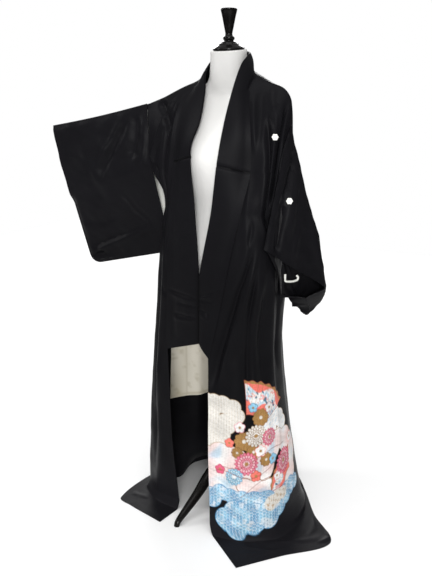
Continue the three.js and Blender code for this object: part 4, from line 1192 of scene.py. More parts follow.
@dataclass(frozen=True)
class Lacquer(Finish):
    """Black lacquer over turned wood, with fine wear."""

    def dress(self, pen: NodePen) -> None:
        """Draw turning marks, dust and slight unevenness of gloss."""
        place = pen.coordinates("Object")
        pen.bump(pen.wave(place, 95, "Z"), 0.00005, 0.5)
        pen.bump(pen.noise(place, 40, 3), 0.0006, 0.25)
        dust = pen.noise(place, 180, 5)
        tone = pen.ramp(dust, ((0.45, self.colour), (0.85, scaled(self.colour, 2.6))))
        pen.surface("Base Color", tone)
        gloss = pen.span(pen.noise(place, 60, 4), self.roughness - 0.06, self.roughness + 0.1)
        pen.surface("Roughness", gloss)


@dataclass(frozen=True)
class SatinSteel(Finish):
    """Dark drawn steel tube."""

    def dress(self, pen: NodePen) -> None:
        """Draw drawing lines along the tube."""
        place = pen.coordinates("Object")
        lines = pen.noise(place, 300, 3)
        pen.surface("Roughness", pen.span(lines, 0.26, 0.42))
        tone = pen.mix(lines, scaled(self.colour, 0.8), scaled(self.colour, 1.25))
        pen.surface("Base Color", tone)


@dataclass(frozen=True)
class PaleFloor(Finish):
    """Plain white floor."""

    def dress(self, pen: NodePen) -> None:
        """Draw a very faint mottling."""
        mottle = pen.noise(pen.coordinates("Object"), 3, 2)
        tone = pen.mix(mottle, scaled(self.colour, 0.995), self.colour)
        pen.surface("Base Color", tone)


# Black silk with painted shade by height: darkest from about 0.2 m to 0.8 m up the hanging skirt, about three
# quarters tone higher up, full tone on the cloth on the floor.
BLACK_SILK = SilkCrepe(
    "black_silk_crepe", (0.0092, 0.0089, 0.0106), 0.36, 0.034, 0.0, 0.4, (0.9, 0.92, 1.0), variation=0.22,
    painted_height_shade=((0.0, 1.0), (0.03, 0.95), (0.12, 0.45), (0.5, 0.5), (0.68, 0.75), (1.0, 0.72)), slot="black_silk")
IVORY_SILK = SilkCrepe("ivory_lining_silk", (0.60, 0.565, 0.48), 0.5, 0.3, 0.15, 0.4, variation=0.04)
WHITE_SILK = SilkCrepe("white_lining_silk", (0.82, 0.82, 0.76), 0.5, 0.3, 0.15, 0.4, variation=0.03)
CREST_SILK = SilkCrepe("crest_white", (0.86, 0.85, 0.80), 0.6, 0.2, variation=0.05, dyed=False)
FORM_JERSEY = Jersey("knit_form_cover", (0.84, 0.832, 0.812), 0.85, 0.15, slot="jersey")
BLACK_LACQUER = Lacquer("turned_black_lacquer", (0.004, 0.0036, 0.0034), 0.13, 0.14, slot="black_lacquer")
DARK_STEEL = SatinSteel("drawn_dark_steel", (0.16, 0.16, 0.17), 0.35, metallic=1.0, slot="dark_steel")
FLOOR = PaleFloor("pale_floor", (0.93, 0.93, 0.93), 0.9, 0.05)


def finish_piece(item: bpy.types.Object, finish: Finish, *nodes: str) -> None:
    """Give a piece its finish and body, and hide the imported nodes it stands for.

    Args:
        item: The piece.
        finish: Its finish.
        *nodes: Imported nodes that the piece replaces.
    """
    item.data.materials.clear()
    item.data.materials.append(finish.material())
    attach(item, "root")
    if nodes:
        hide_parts(*nodes)


def cloth_piece(
    name: str, node: str | None, sheets: Sequence[Sheet],
    finish: Finish = BLACK_SILK, thickness: float = CLOTH, shift: float = 0.0, step: int = 1
) -> None:
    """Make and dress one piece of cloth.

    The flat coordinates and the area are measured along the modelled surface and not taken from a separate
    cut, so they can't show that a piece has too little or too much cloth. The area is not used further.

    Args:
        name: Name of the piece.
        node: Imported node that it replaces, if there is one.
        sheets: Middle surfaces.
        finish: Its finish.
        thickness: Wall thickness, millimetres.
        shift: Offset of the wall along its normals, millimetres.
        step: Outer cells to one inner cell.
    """
    item = wall_object(name, sheets, thickness, shift, step)
    finish_piece(item, finish, *([node] if node else []))
    area = sum(sheet.area() for sheet in sheets)


def turned_piece(name: str, points: Array, faces: Sequence[Sequence[int]], finish: Finish, node: str) -> None:
    """Make and dress one hard piece of the dress form or its stand."""
    item = new_object(name, points, faces)
    sharpen_rims(item.data, TURNED_RIM_ANGLE)
    finish_piece(item, finish, node)


# ---- hem picture ----
def srgb(red: int, green: int, blue: int) -> Triple:
    """Return a linear colour from the 0 to 255 values of a screen."""
    def channel(value: float) -> float:
        """Return one linear channel."""
        value /= 255
        return value / 12.92 if value <= 0.04045 else ((value + 0.055) / 1.055) ** 2.4
    return (channel(red), channel(green), channel(blue))


class Dye(Enum):
    """Colours of the painted hem."""

    IVORY = srgb(208, 204, 196)
    WHITE = srgb(226, 224, 222)
    CORAL = srgb(228, 118, 106)
    PALE_PINK = srgb(222, 196, 192)
    ROSE = srgb(208, 96, 122)
    MAGENTA = srgb(160, 40, 76)
    SKY = srgb(140, 190, 216)
    DEEP_SKY = srgb(66, 128, 172)
    TEAL = srgb(40, 104, 130)
    GOLD = srgb(158, 122, 74)
    OCHRE = srgb(128, 92, 56)
    BROWN = srgb(138, 72, 58)
    BLACK = (0.0085, 0.0082, 0.0092)


@dataclass
class HemPainter:
    """Paints generic traditional motifs at points given by arc length and height.

    The arc length s runs from the front edge round the skirt, z is the height, both in
    millimetres. Colours lie over each other in the order in which they are painted.
    """

    s: Array
    z: Array
    grain: float
    colour: Array = field(init=False)
    cover: Array = field(init=False)

    def __post_init__(self) -> None:
        """Start with bare cloth."""
        self.colour = np.zeros((*self.s.shape, 3))
        self.cover = np.zeros(self.s.shape)

    def edge(self, distance: Array) -> Array:
        """Return cover 1 inside a shape and 0 outside, soft over one cell."""
        return np.clip(0.5 - distance / self.grain, 0, 1)

    def lay(self, mask: Array, dye: Dye | Array) -> None:
        """Lay a colour over what is there."""
        value = np.array(dye.value) if isinstance(dye, Dye) else dye
        part = mask[..., None]
        self.colour = self.colour * (1 - part) + value * part
        self.cover = np.maximum(self.cover, mask)

    def disc(self, s: float, z: float, radius: float) -> Array:
        """Return the distance to a disc's edge, negative inside."""
        return np.hypot(self.s - s, self.z - z) - radius

    def cloud(self, lobes: Sequence[tuple[float, float, float]]) -> Array:
        """Return the distance to a scalloped cloud made of lobes joined in order."""
        best = np.full(self.s.shape, 1e9)
        for s, z, radius in lobes:
            best = np.minimum(best, self.disc(s, z, radius))
        for (s0, z0, r0), (s1, z1, r1) in zip(lobes, lobes[1:]):
            ds, dz = s1 - s0, z1 - z0
            long = max(1e-6, ds * ds + dz * dz)
            t = np.clip(((self.s - s0) * ds + (self.z - z0) * dz) / long, 0, 1)
            far = np.hypot(self.s - s0 - t * ds, self.z - z0 - t * dz)
            best = np.minimum(best, far - (r0 + (r1 - r0) * t) * 0.82)
        return best

    def fill(self, shape: Array, dye: Dye | Array, part: Array | float = 1.0) -> None:
        """Lay a colour inside a shape."""
        self.lay(self.edge(shape) * part, dye)

    def outlined(self, shape: Array, fill: Dye | Array, line: Dye, wide: float) -> Array:
        """Lay a shape with an outline and return its mask."""
        self.lay(self.edge(shape - wide), line)
        mask = self.edge(shape)
        self.lay(mask, fill)
        return mask

    def scales(self, radius: float) -> Array:
        """Return rings of overlapping wave scales, 0 at a scale's centre and 1 at its edge."""
        best = np.ones(self.s.shape)
        row = np.floor(self.z / (radius * 0.5))
        for back in range(3, -1, -1):
            level = row - back + 1
            shift = np.where(np.mod(level, 2) == 0, 0.0, radius)
            centre = (np.floor((self.s - shift) / (2 * radius)) + 0.5) * 2 * radius + shift
            far = np.hypot(self.s - centre, self.z - level * radius * 0.5) / radius
            best = np.where(far < 1, far, best)
        return best

    def scattered(self, size: float, part: float, seed: int) -> Array:
        """Return a mask of small scattered flecks."""
        value = soft_noise(self.s, self.z, size, seed)
        value = value + 0.6 * soft_noise(self.s, self.z, size * 0.43, seed + 1)
        return np.clip((value - part) * 4, 0, 1)

    def chrysanthemum(self, s: float, z: float, radius: float, petals: int, dyes: Sequence[Dye]) -> None:
        """Paint a many-petalled flower in rings from the outside in.

        Args:
            s: Centre along the hem.
            z: Height of the centre.
            radius: Outer radius.
            petals: Petals in one ring.
            dyes: Petal colour, its line and the centre's colour.
        """
        angle = np.arctan2(self.z - z, self.s - s)
        far = np.hypot(self.s - s, self.z - z)
        for ring, size in enumerate((1.0, 0.78, 0.56, 0.36)):
            turn = angle * petals / 2 + ring * math.pi / 2
            rim = radius * size * (0.84 + 0.16 * np.abs(np.cos(turn)))
            self.fill(far - rim, dyes[1])
            pale = (0.1, 0.5, 0.2, 0.65)[ring]
            tone = np.array(dyes[0].value) * (1 - pale) + np.array(Dye.WHITE.value) * pale
            self.fill(far - rim + radius * 0.05, tone)
            veins = smooth_step(0.80, 0.98, np.abs(np.sin(turn))) * self.edge(far - rim + radius * 0.05)
            self.lay(veins * 0.75, dyes[1])
        self.fill(far - radius * 0.16, dyes[2])

    def plum(self, s: float, z: float, radius: float, fill: Dye, line: Dye) -> None:
        """Paint a five-petalled plum blossom."""
        petals = [
            (s + math.cos(a) * radius * 0.55, z + math.sin(a) * radius * 0.55)
            for a in (math.pi / 2 + 2 * math.pi * i / 5 for i in range(5))
        ]
        for ps, pz in petals:
            self.fill(self.disc(ps, pz, radius * 0.5), line)
        for ps, pz in petals:
            self.fill(self.disc(ps, pz, radius * 0.5 - 1.6), fill)
        self.fill(self.disc(s, z, radius * 0.24), Dye.GOLD)

    def pine(self, s: float, z: float, radius: float) -> None:
        """Paint a rounded pine cluster in gold needles."""
        far = np.hypot(self.s - s, self.z - z)
        angle = np.arctan2(self.z - z, self.s - s)
        rim = radius * (0.86 + 0.14 * np.abs(np.cos(angle * 5)))
        self.fill(far - rim, Dye.OCHRE)
        self.fill(far - rim + 2, Dye.GOLD, 0.35 + 0.65 * smooth_step(0.1, 0.7, np.abs(np.sin(angle * 13))))
        self.fill(far - radius * 0.18, Dye.IVORY)

    def fan(
        self, s: float, z: float, radius: float, middle: float, spread: float
    ) -> tuple[Array, Array, Array]:
        """Return an open fan: distance to its leaf, part out from the pivot, part round."""
        angle = np.arctan2(self.z - z, self.s - s)
        turn = np.mod(angle - middle + math.pi, 2 * math.pi) - math.pi
        far = np.hypot(self.s - s, self.z - z)
        scallop = radius * (1 + 0.018 * np.cos(turn * 34))
        aside = (np.abs(turn) - spread) * far
        leaf = np.maximum(np.maximum(far - scallop, radius * 0.36 - far), aside)
        return leaf, far / radius, turn / spread

    def paint(self) -> Array:
        """Paint the whole hem.

        Returns:
            Colour and cover of each point.
        """
        self.clouds()
        self.fans()
        self.flowers()
        self.waves()
        self.stems()
        broad = np.clip(soft_noise(self.s, self.z, 62, 71), -1, 1)
        close = np.clip(soft_noise(self.s, self.z, 10, 73), -1, 1)
        self.colour = self.colour * (0.90 + 0.10 * broad + 0.10 * close)[..., None]
        return np.concatenate([self.colour, self.cover[..., None]], -1)

    def clouds(self) -> None:
        """Paint the ivory, white and pale pink cloud bands."""
        ivory = self.cloud((
            (-20, 430, 60), (22, 452, 34), (52, 455, 30), (82, 448, 28), (96, 420, 26), (62, 392, 34),
            (30, 360, 46), (-10, 330, 60)))
        self.outlined(ivory, Dye.IVORY, Dye.GOLD, 1.6)
        rings = self.scales(9)
        bows = smooth_step(0.7, 0.95, np.abs(np.cos(rings * math.pi * 1.5)))
        self.fill(ivory + 3, Dye.WHITE, bows * 0.5)
        self.fill(ivory + 3, Dye.GOLD, smooth_step(0.84, 0.97, rings) * 0.35)
        white = self.cloud(((206, 372, 40), (238, 396, 32), (266, 384, 28), (284, 360, 26), (262, 338, 24)))
        self.outlined(white, Dye.WHITE, Dye.GOLD, 1.6)
        self.fill(white + 3, Dye.SKY, self.scattered(11, 0.4, 9) * 0.4)
        pink = self.cloud((
            (-10, 250, 60), (40, 286, 40), (86, 272, 46), (128, 230, 58), (176, 250, 56), (214, 296, 44),
            (252, 318, 34), (300, 300, 40), (330, 250, 60), (310, 170, 60), (240, 150, 50), (150, 170, 60),
            (60, 190, 60), (-10, 180, 50)))
        shade = 0.5 + 0.5 * np.clip(soft_noise(self.s, self.z, 90, 21) * 1.4, -1, 1)
        shade = shade[..., None]
        tint = np.array(Dye.PALE_PINK.value) * (1 - shade) + np.array(Dye.WHITE.value) * shade
        cool = (smooth_step(0.1, 0.9, soft_noise(self.s, self.z, 70, 27)) * 0.55)[..., None]
        tint = tint * (1 - cool) + np.array(Dye.SKY.value) * cool
        self.outlined(pink, tint, Dye.GOLD, 1.8)
        inner = self.cloud(((120, 190, 26), (160, 178, 30), (204, 176, 26), (240, 160, 22)))
        self.fill(np.abs(inner) - 1.3, Dye.OCHRE)

    def fans(self) -> None:
        """Paint two open coral fans with gold ribs."""
        for s, z, radius, middle, spread, seed in (
            (128, 366, 168, 1.02, 0.55, 31), (330, 148, 118, 2.35, 0.72, 37),
        ):
            leaf, out, turn = self.fan(s, z, radius, middle, spread)
            mask = self.outlined(leaf, Dye.CORAL, Dye.BROWN, 2.4)
            band = smooth_step(0.60, 0.63, out) * (1 - smooth_step(0.84, 0.87, out))
            wander = 0.08 * np.sin(turn * 5 + seed)
            wavy = out + wander
            inside = mask * smooth_step(0.55, 0.58, wavy) * (1 - smooth_step(0.86, 0.89, wavy))
            self.lay(inside, Dye.WHITE)
            self.lay(inside * self.scattered(34, 0.1, seed + 3) * 0.6, Dye.SKY)
            self.lay(inside * self.scattered(30, 0.35, seed + 5) * 0.6, Dye.CORAL)
            self.lay(mask * band * self.scattered(22, 0.55, seed) * 0.9, Dye.TEAL)
            ribs = smooth_step(0.965, 1.0, np.abs(np.cos(turn * math.pi * 4.5)))
            self.lay(mask * ribs * 0.55, Dye.GOLD)
            self.lay(mask * smooth_step(0.955, 0.97, out), Dye.GOLD)

    def flowers(self) -> None:
        """Paint chrysanthemums, plum blossoms and pine clusters."""
        for s, z, radius in ((120, 338, 34), (176, 410, 30), (152, 300, 26), (196, 268, 24), (98, 300, 20)):
            self.pine(s, z, radius)
        rose = (Dye.ROSE, Dye.MAGENTA, Dye.GOLD)
        ivory = (Dye.IVORY, Dye.OCHRE, Dye.GOLD)
        blue = (Dye.SKY, Dye.TEAL, Dye.WHITE)
        self.chrysanthemum(160, 352, 38, 16, ivory)
        self.chrysanthemum(128, 262, 40, 18, rose)
        self.chrysanthemum(210, 340, 30, 14, rose)
        self.chrysanthemum(88, 218, 30, 14, blue)
        self.chrysanthemum(286, 232, 44, 18, rose)
        for s, z, radius, fill, line in (
            (176, 300, 20, Dye.WHITE, Dye.CORAL), (106, 384, 18, Dye.WHITE, Dye.ROSE),
            (72, 330, 16, Dye.CORAL, Dye.BROWN), (226, 262, 18, Dye.SKY, Dye.TEAL),
            (160, 218, 19, Dye.CORAL, Dye.BROWN), (40, 236, 17, Dye.ROSE, Dye.MAGENTA),
            (208, 438, 17, Dye.WHITE, Dye.MAGENTA), (150, 446, 16, Dye.SKY, Dye.TEAL),
            (246, 196, 16, Dye.WHITE, Dye.ROSE), (336, 292, 18, Dye.WHITE, Dye.CORAL),
        ):
            self.plum(s, z, radius, fill, line)

    def stems(self) -> None:
        """Paint thin flowing gold lines that tie the motifs together."""
        for low, high, foot, slope, swing, phase in (
            (10, 330, 214, 0.10, 16, 0.3), (40, 300, 246, 0.22, 12, 1.7), (96, 360, 150, 0.42, 14, 2.6),
        ):
            level = foot + slope * (self.s - low) + swing * np.sin(self.s / 34 + phase)
            inside = smooth_step(low, low + 20, self.s) * (1 - smooth_step(high - 20, high, self.s))
            self.fill(np.abs(self.z - level) - 1.1, Dye.BROWN, inside * 0.85 * (self.cover > 0.5))

    def waves(self) -> None:
        """Paint the sky-blue wave clouds along the foot of the picture."""
        low = self.cloud((
            (60, 66, 38), (96, 92, 44), (92, 52, 40), (150, 76, 50), (206, 84, 46), (250, 104, 40),
            (292, 120, 34), (330, 128, 28), (366, 126, 22)))
        high = self.cloud((
            (8, 132, 34), (40, 156, 26), (76, 150, 24), (112, 146, 24), (150, 136, 30), (196, 126, 36)))
        for shape in (high, low):
            mask = self.outlined(shape, Dye.SKY, Dye.DEEP_SKY, 2.2)
            rings = self.scales(11)
            deep = 0.5 + 0.5 * np.clip(soft_noise(self.s, self.z, 46, 44) * 1.5, -1, 1)
            self.lay(mask * deep * 0.75, Dye.DEEP_SKY)
            self.lay(mask * self.scattered(40, 0.3, 47) * 0.5, Dye.WHITE)
            self.lay(mask * smooth_step(0.70, 0.95, np.abs(np.cos(rings * math.pi * 2))) * 0.62, Dye.WHITE)
            self.lay(mask * smooth_step(0.86, 0.97, rings) * 0.75, Dye.TEAL)
        pale = self.cloud(((214, 118, 26), (246, 128, 24), (276, 128, 20)))
        self.fill(pale, Dye.IVORY)
        self.fill(pale + 2, Dye.GOLD, self.scattered(12, 0.3, 61) * 0.6)


# ---- kimono pieces ----
def level_rows(step_above: float, step_low: float, low_top: float) -> Array:
    """Return heights of hanging rows from below the underarm to the bend."""
    above = np.arange(UNDERARM - step_above, low_top, -step_above)
    low = np.arange(low_top, BEND_TOP + step_low / 2, -step_low)
    return np.concatenate([above, low, [BEND_TOP]])


FLOOR_WAYS = np.concatenate([np.linspace(0, 0.14, 10)[1:], np.linspace(0.14, 1, 27)[1:]])
UPPER_WAYS = np.unique(np.concatenate([np.linspace(0, 1, 53), [NECK_WAY, POINT_WAY]]))


@dataclass
class Half:
    """What is made for one side of the garment."""

    garment: Garment

    @property
    def side(self) -> Side:
        """Return the garment's side."""
        return self.garment.side


@dataclass
class Panels(Half):
    """Body, overlap, lining and facing of one side, cut from the same surfaces."""

    painted: bool
    cells_across: int
    low_step: float
    back_step: float = 8.0

    def settle(self, points: Array, columns: Array, levels: Array, seed: int) -> Array:
        """Add creases and small undulations to a panel's smooth points.

        Args:
            points: Rows by columns of smooth points.
            columns: Plan column of each point.
            levels: Height of each point, below 0 on the floor.
            seed: Number of the undulation.

        Returns:
            The dressed points.
        """
        sheet = Sheet(points, points[..., :2], away_from_axis(points))
        x, y = columns * COLUMN_MM, levels
        height = CREASE_GAIN * crease_height(PANEL_CREASES[self.side], columns, levels, COLUMN_MM)
        height += 2.0 * soft_noise(x, y * 0.4, 120, 3) + 0.8 * soft_noise(x, y * 0.6, 46, 4)
        floor = np.clip((levels + 30) / 60, 0, 1)
        height = np.where(levels < BEND_TOP, np.maximum(height, 0) * (0.35 + 0.65 * floor), height)
        dressed = sheet.pushed(height).points
        dressed[..., 2] = np.maximum(dressed[..., 2], FLOOR_LIFT)
        return clear_of_legs(clear_of_form(dressed))

    def dye(self, points: Array, levels: Array, start: Array | None) -> Array | None:
        """Return the hem picture's colours for a panel, or None where it is plain."""
        if not self.painted:
            return None
        steps = np.linalg.norm(np.diff(points, axis=1), axis=2)
        length = np.concatenate([np.zeros((len(points), 1)), np.cumsum(steps, 1)], 1)
        bend = np.argmin(np.abs(levels[:, 0] - BEND_TOP))
        length[levels[:, 0] < BEND_TOP] = length[bend]
        first = np.zeros(len(points)) if start is None else start
        return HemPainter(length + first[:, None], levels, 2.4).paint()

    def overlap_sheet(self) -> tuple[Sheet, Array, Array]:
        """Return the front overlap panel, with its row levels and widths."""
        columns = np.linspace(0, 1, even(max(14, self.cells_across // 2), 2))
        rows, levels = [], []
        for way in UPPER_WAYS[UPPER_WAYS >= POINT_WAY]:
            edge = self.garment.collar_at(self.garment.overlap_run(way))[0][0]
            seam = self.garment.upper(Face.FRONT, np.array([0.0]), way)[0]
            rows.append(edge + (seam - edge) * columns[:, None])
            levels.append(UNDERARM + (1 - way) * UPPER_RUN)
        for z in level_rows(9, self.low_step, PICTURE_TOP):
            rows.append(self.garment.hanging(columns, z))
            levels.append(z)
        for way in FLOOR_WAYS:
            rows.append(self.garment.on_floor(columns, way))
            levels.append(BEND_TOP - way * FLOOR_RUN)
        points = np.array(rows)
        column, level = np.meshgrid(columns, levels)
        dressed = self.settle(points, column, level, 3)
        widths = np.linalg.norm(np.diff(dressed, axis=1), axis=2).sum(1)
        sheet = Sheet(dressed, flat_grid(dressed), away_from_axis(dressed), self.dye(dressed, level, None))
        return sheet, np.array(levels), widths

    def body_sheet(self, overlap_levels: Array, overlap_widths: Array) -> tuple[Sheet, Array, Array]:
        """Return the body panel from front hem over the shoulder to back hem."""
        across = np.linspace(0, 1, self.cells_across + 1)
        rows, levels, columns = [], [], []

        def add(row: Array, level: float, column: Array) -> None:
            """Keep one row."""
            rows.append(row)
            levels.append(level)
            columns.append(column)

        front, back = 1 + 2 * across, 5 - 2 * across
        for way in FLOOR_WAYS[::-1]:
            add(self.garment.on_floor(front, way), BEND_TOP - way * FLOOR_RUN, front)
        for z in level_rows(9, self.low_step, PICTURE_TOP)[::-1]:
            add(self.garment.hanging(front, z), z, front)
        for way in UPPER_WAYS[::-1]:
            add(self.garment.upper(Face.FRONT, across, way), UNDERARM + (1 - way) * UPPER_RUN, front)
        turn = len(rows)
        for way in UPPER_WAYS[1:]:
            add(self.garment.upper(Face.BACK, across, way), UNDERARM + (1 - way) * UPPER_RUN, back)
        for z in level_rows(self.back_step, self.back_step, 300):
            add(self.garment.hanging(back, z, True), z, back)
        for way in FLOOR_WAYS:
            add(self.garment.on_floor(back, way), BEND_TOP - way * FLOOR_RUN, back)
        while len(rows) % 2 == 0:
            keep = turn + 3
            rows.pop(keep), levels.pop(keep), columns.pop(keep)
        points = np.array(rows)
        level = np.repeat(np.array(levels)[:, None], len(across), 1)
        column = np.array(columns)
        dressed = self.settle(points, column, level, 3)
        dye = None
        if self.painted:
            start = np.interp(-np.array(levels[:turn]), -overlap_levels, overlap_widths)
            front_dye = self.dye(dressed[:turn], level[:turn], start)
            back_rows = dressed[turn:, ::-1]
            side = np.linalg.norm(np.diff(dressed[:turn], axis=1), axis=2).sum(1)
            side_levels = np.array(levels[:turn])
            order = np.argsort(side_levels)
            offset = np.interp(np.array(levels[turn:]), side_levels[order], (start + side)[order])
            back_dye = self.dye(back_rows, level[turn:], offset)[:, ::-1]
            dye = np.concatenate([front_dye, back_dye], 0)
        sheet = Sheet(dressed, flat_grid(dressed), away_from_axis(dressed), dye)
        return sheet, column, level

    def inside_sheet(self, top: float, bottom: float, first: float, last: float = 5.0) -> Sheet:
        """Return the skirt's inside between two heights and two columns."""
        columns = np.linspace(first, last, max(8, round((last - first) * 18)))
        heights = np.linspace(top, bottom, max(20, int((top - bottom) / 8)))
        points = np.array([self.garment.hanging(columns, z, True) for z in heights])
        column, level = np.meshgrid(columns, heights)
        dressed = self.settle(points, column, level, 3)
        return Sheet(dressed, flat_grid(dressed), away_from_axis(dressed))

    def lining_tone(self, lining: Sheet) -> Array:
        """Return the lining's side seam and foxing, with painted shade at its foot and a painted shade line
        of a fold just above its lower edge, as colour and cover.
        """
        rows, columns = lining.points.shape[:2]
        first = LINING_FROM[self.side]
        column, down = np.meshgrid(np.linspace(first, 5, columns), np.linspace(0, 1, rows))
        x, y = column * COLUMN_MM, down * (LINING_TOP - FACING_TOP)
        seam = np.exp(-(((column - 3.0) * COLUMN_MM) / 2.2) ** 2) * 0.75
        foxing = smooth_step(0.35, 1.1, soft_noise(x, y, 44, 81) + 0.5 * soft_noise(x, y, 15, 83)) * 0.35
        # Painted shade: darker towards the foot of the lining, in front of the side seam.
        foot = smooth_step(0.55, 1.0, down) * smooth_step(3.1, 2.75, column) * 0.35
        # Painted shade: a thin line of a fold 9 mm above the lining's lower edge.
        hem = np.exp(-((1 - down) * (LINING_TOP - FACING_TOP) - 9) ** 2 / 8) * 0.5
        cover = np.clip(np.maximum(np.maximum(seam, hem), foxing + foot), 0, 1)
        tone = np.broadcast_to(np.array(srgb(150, 138, 104)), (rows, columns, 3))
        return np.concatenate([tone, cover[..., None]], -1)

    def body_alone(self) -> tuple[Sheet, Array, Array]:
        """Return the body panel alone, with its columns and levels."""
        _, levels, widths = self.overlap_sheet()
        return self.body_sheet(levels, widths)

    def build(self) -> None:
        """Make the body, overlap, lining and facing of this side."""
        name = self.side.value
        body_name = f"body_panel_{name}"
        overlap, levels, widths = self.overlap_sheet()
        cloth_piece(f"overlap_panel_{name}", f"overlap_{name}", [overlap])
        body, _, _ = self.body_sheet(levels, widths)
        cloth_piece(body_name, f"body_{name}", [body], step=2)
        lining = self.inside_sheet(LINING_TOP, FACING_TOP, LINING_FROM[self.side])
        lining.dye, lining.through = self.lining_tone(lining), True
        facing = self.inside_sheet(FACING_TOP, BEND_TOP, FACING_FROM)
        border = self.inside_sheet(LINING_TOP, FACING_TOP, FACING_FROM, LINING_FROM[self.side])
        for layer, sheets, finish in (
            ("lining", [lining], IVORY_SILK), ("facing", [facing, border], BLACK_SILK),
        ):
            cloth_piece(
                f"skirt_{layer}_{name}", f"{layer}_{name}", sheets,
                finish, LINING_CLOTH, LINING_SHIFT)


@dataclass
class Collar:
    """Folded collar strip round the neck, and the over-collar on its middle."""

    parts: int = 14
    step: float = 4.0

    def rows(self, side: Side, end: float) -> tuple[list[Array], list[float]]:
        """Return bowed rows of one side from the back of the neck to an end."""
        garment = GARMENTS[side]
        count = int(end / self.step)
        found, runs = [], []
        part = np.linspace(0, 1, self.parts + 1)
        for run in np.linspace(0, end, count):
            seam, free = (edge[0] for edge in garment.collar_at(run))
            middle = (seam + free) / 2
            outward = np.array([middle[0], middle[1] - 10, 0])
            outward /= np.linalg.norm(outward)
            row = seam + (free - seam) * part[:, None]
            row += outward * (COLLAR_BOW * np.sin(math.pi * part))[:, None]
            over = np.clip(1 - part * self.parts / 2, 0, 1)[:, None]
            row += over * (outward * SEAM_LIFT + (seam - free) / np.linalg.norm(seam - free) * SEAM_OVER)
            found.append(row)
            runs.append(run)
        return found, runs

    def strip(self, ends: dict[Side, float]) -> Sheet:
        """Return the strip from the right front round the neck to the left front, with painted shadow held in
        its dye.
        """
        halves = []
        for side in Side:
            rows, runs = self.rows(side, ends[side])
            points = np.array(rows)
            part, run = np.meshgrid(np.linspace(0, 1, self.parts + 1), runs)
            seam = float(GARMENTS[side].collar_run(OVER_COLLAR_END[side])) + OVER_COLLAR_SEAM
            groove = (((-0.1, seam), (1.1, seam)), 3.4, -3.6, 0.0, 0.01)
            height = crease_height((*COLLAR_CREASES[side], groove), part, run, 100)
            shadow = 0.95 * np.exp(-((run - seam) / (2.2 if side is Side.LEFT else 3.0)) ** 2)
            meet = float(GARMENTS[side].collar_run(COLLARS_MEET))
            shadow = np.maximum(shadow, smooth_step(0.9, 1.0, part) * smooth_step(meet, meet + 30, run) * 0.8)
            height += 0.8 * soft_noise(part * 100, run * 0.6, 90, 8)
            halves.append((points, height * smooth_step(0, 0.12, part), shadow))
        left, right = halves
        points = np.vstack([right[0][:0:-1], left[0]])
        height = np.vstack([right[1][:0:-1], left[1]])
        cover = np.vstack([right[2][:0:-1], left[2]])
        dark = np.broadcast_to(np.array(SEAM_SHADOW), points.shape)
        sheet = Sheet(points, points[..., :2], away_from_axis(points)).pushed(height)
        sheet.points[:, 1:] = clear_of_form(sheet.points[:, 1:], FORM_CLEARANCE + 0.4)
        # This dye layer holds only painted shadow: across the strip at the over-collar's end seam, and along
        # the free edge below where the collars meet.
        dye = np.concatenate([dark, cover[..., None]], -1)
        return Sheet(sheet.points, flat_grid(sheet.points), away_from_axis(sheet.points), dye)

    def build(self) -> None:
        """Make collar and over-collar."""
        ends = {side: float(GARMENTS[side].collar_run(COLLAR_END)) for side in Side}
        cloth_piece(
            "collar_strip", "collar", [self.strip(ends)], thickness=COLLAR_CLOTH)
        ends = {side: float(GARMENTS[side].collar_run(OVER_COLLAR_END[side])) for side in Side}
        over = self.strip(ends)
        trimmed = Sheet(over.points, over.flat, over.outward)
        for column, toward in ((0, 1), (-1, -2)):
            way = trimmed.points[:, toward] - trimmed.points[:, column]
            way /= np.linalg.norm(way, axis=1)[:, None]
            trimmed.points[:, column] += way * OVER_COLLAR_TRIM
        cloth_piece(
            "over_collar_strip", "over_collar", [trimmed],
            thickness=OVER_COLLAR_CLOTH, shift=COLLAR_CLOTH / 2 + OVER_COLLAR_GAP + OVER_COLLAR_CLOTH / 2)


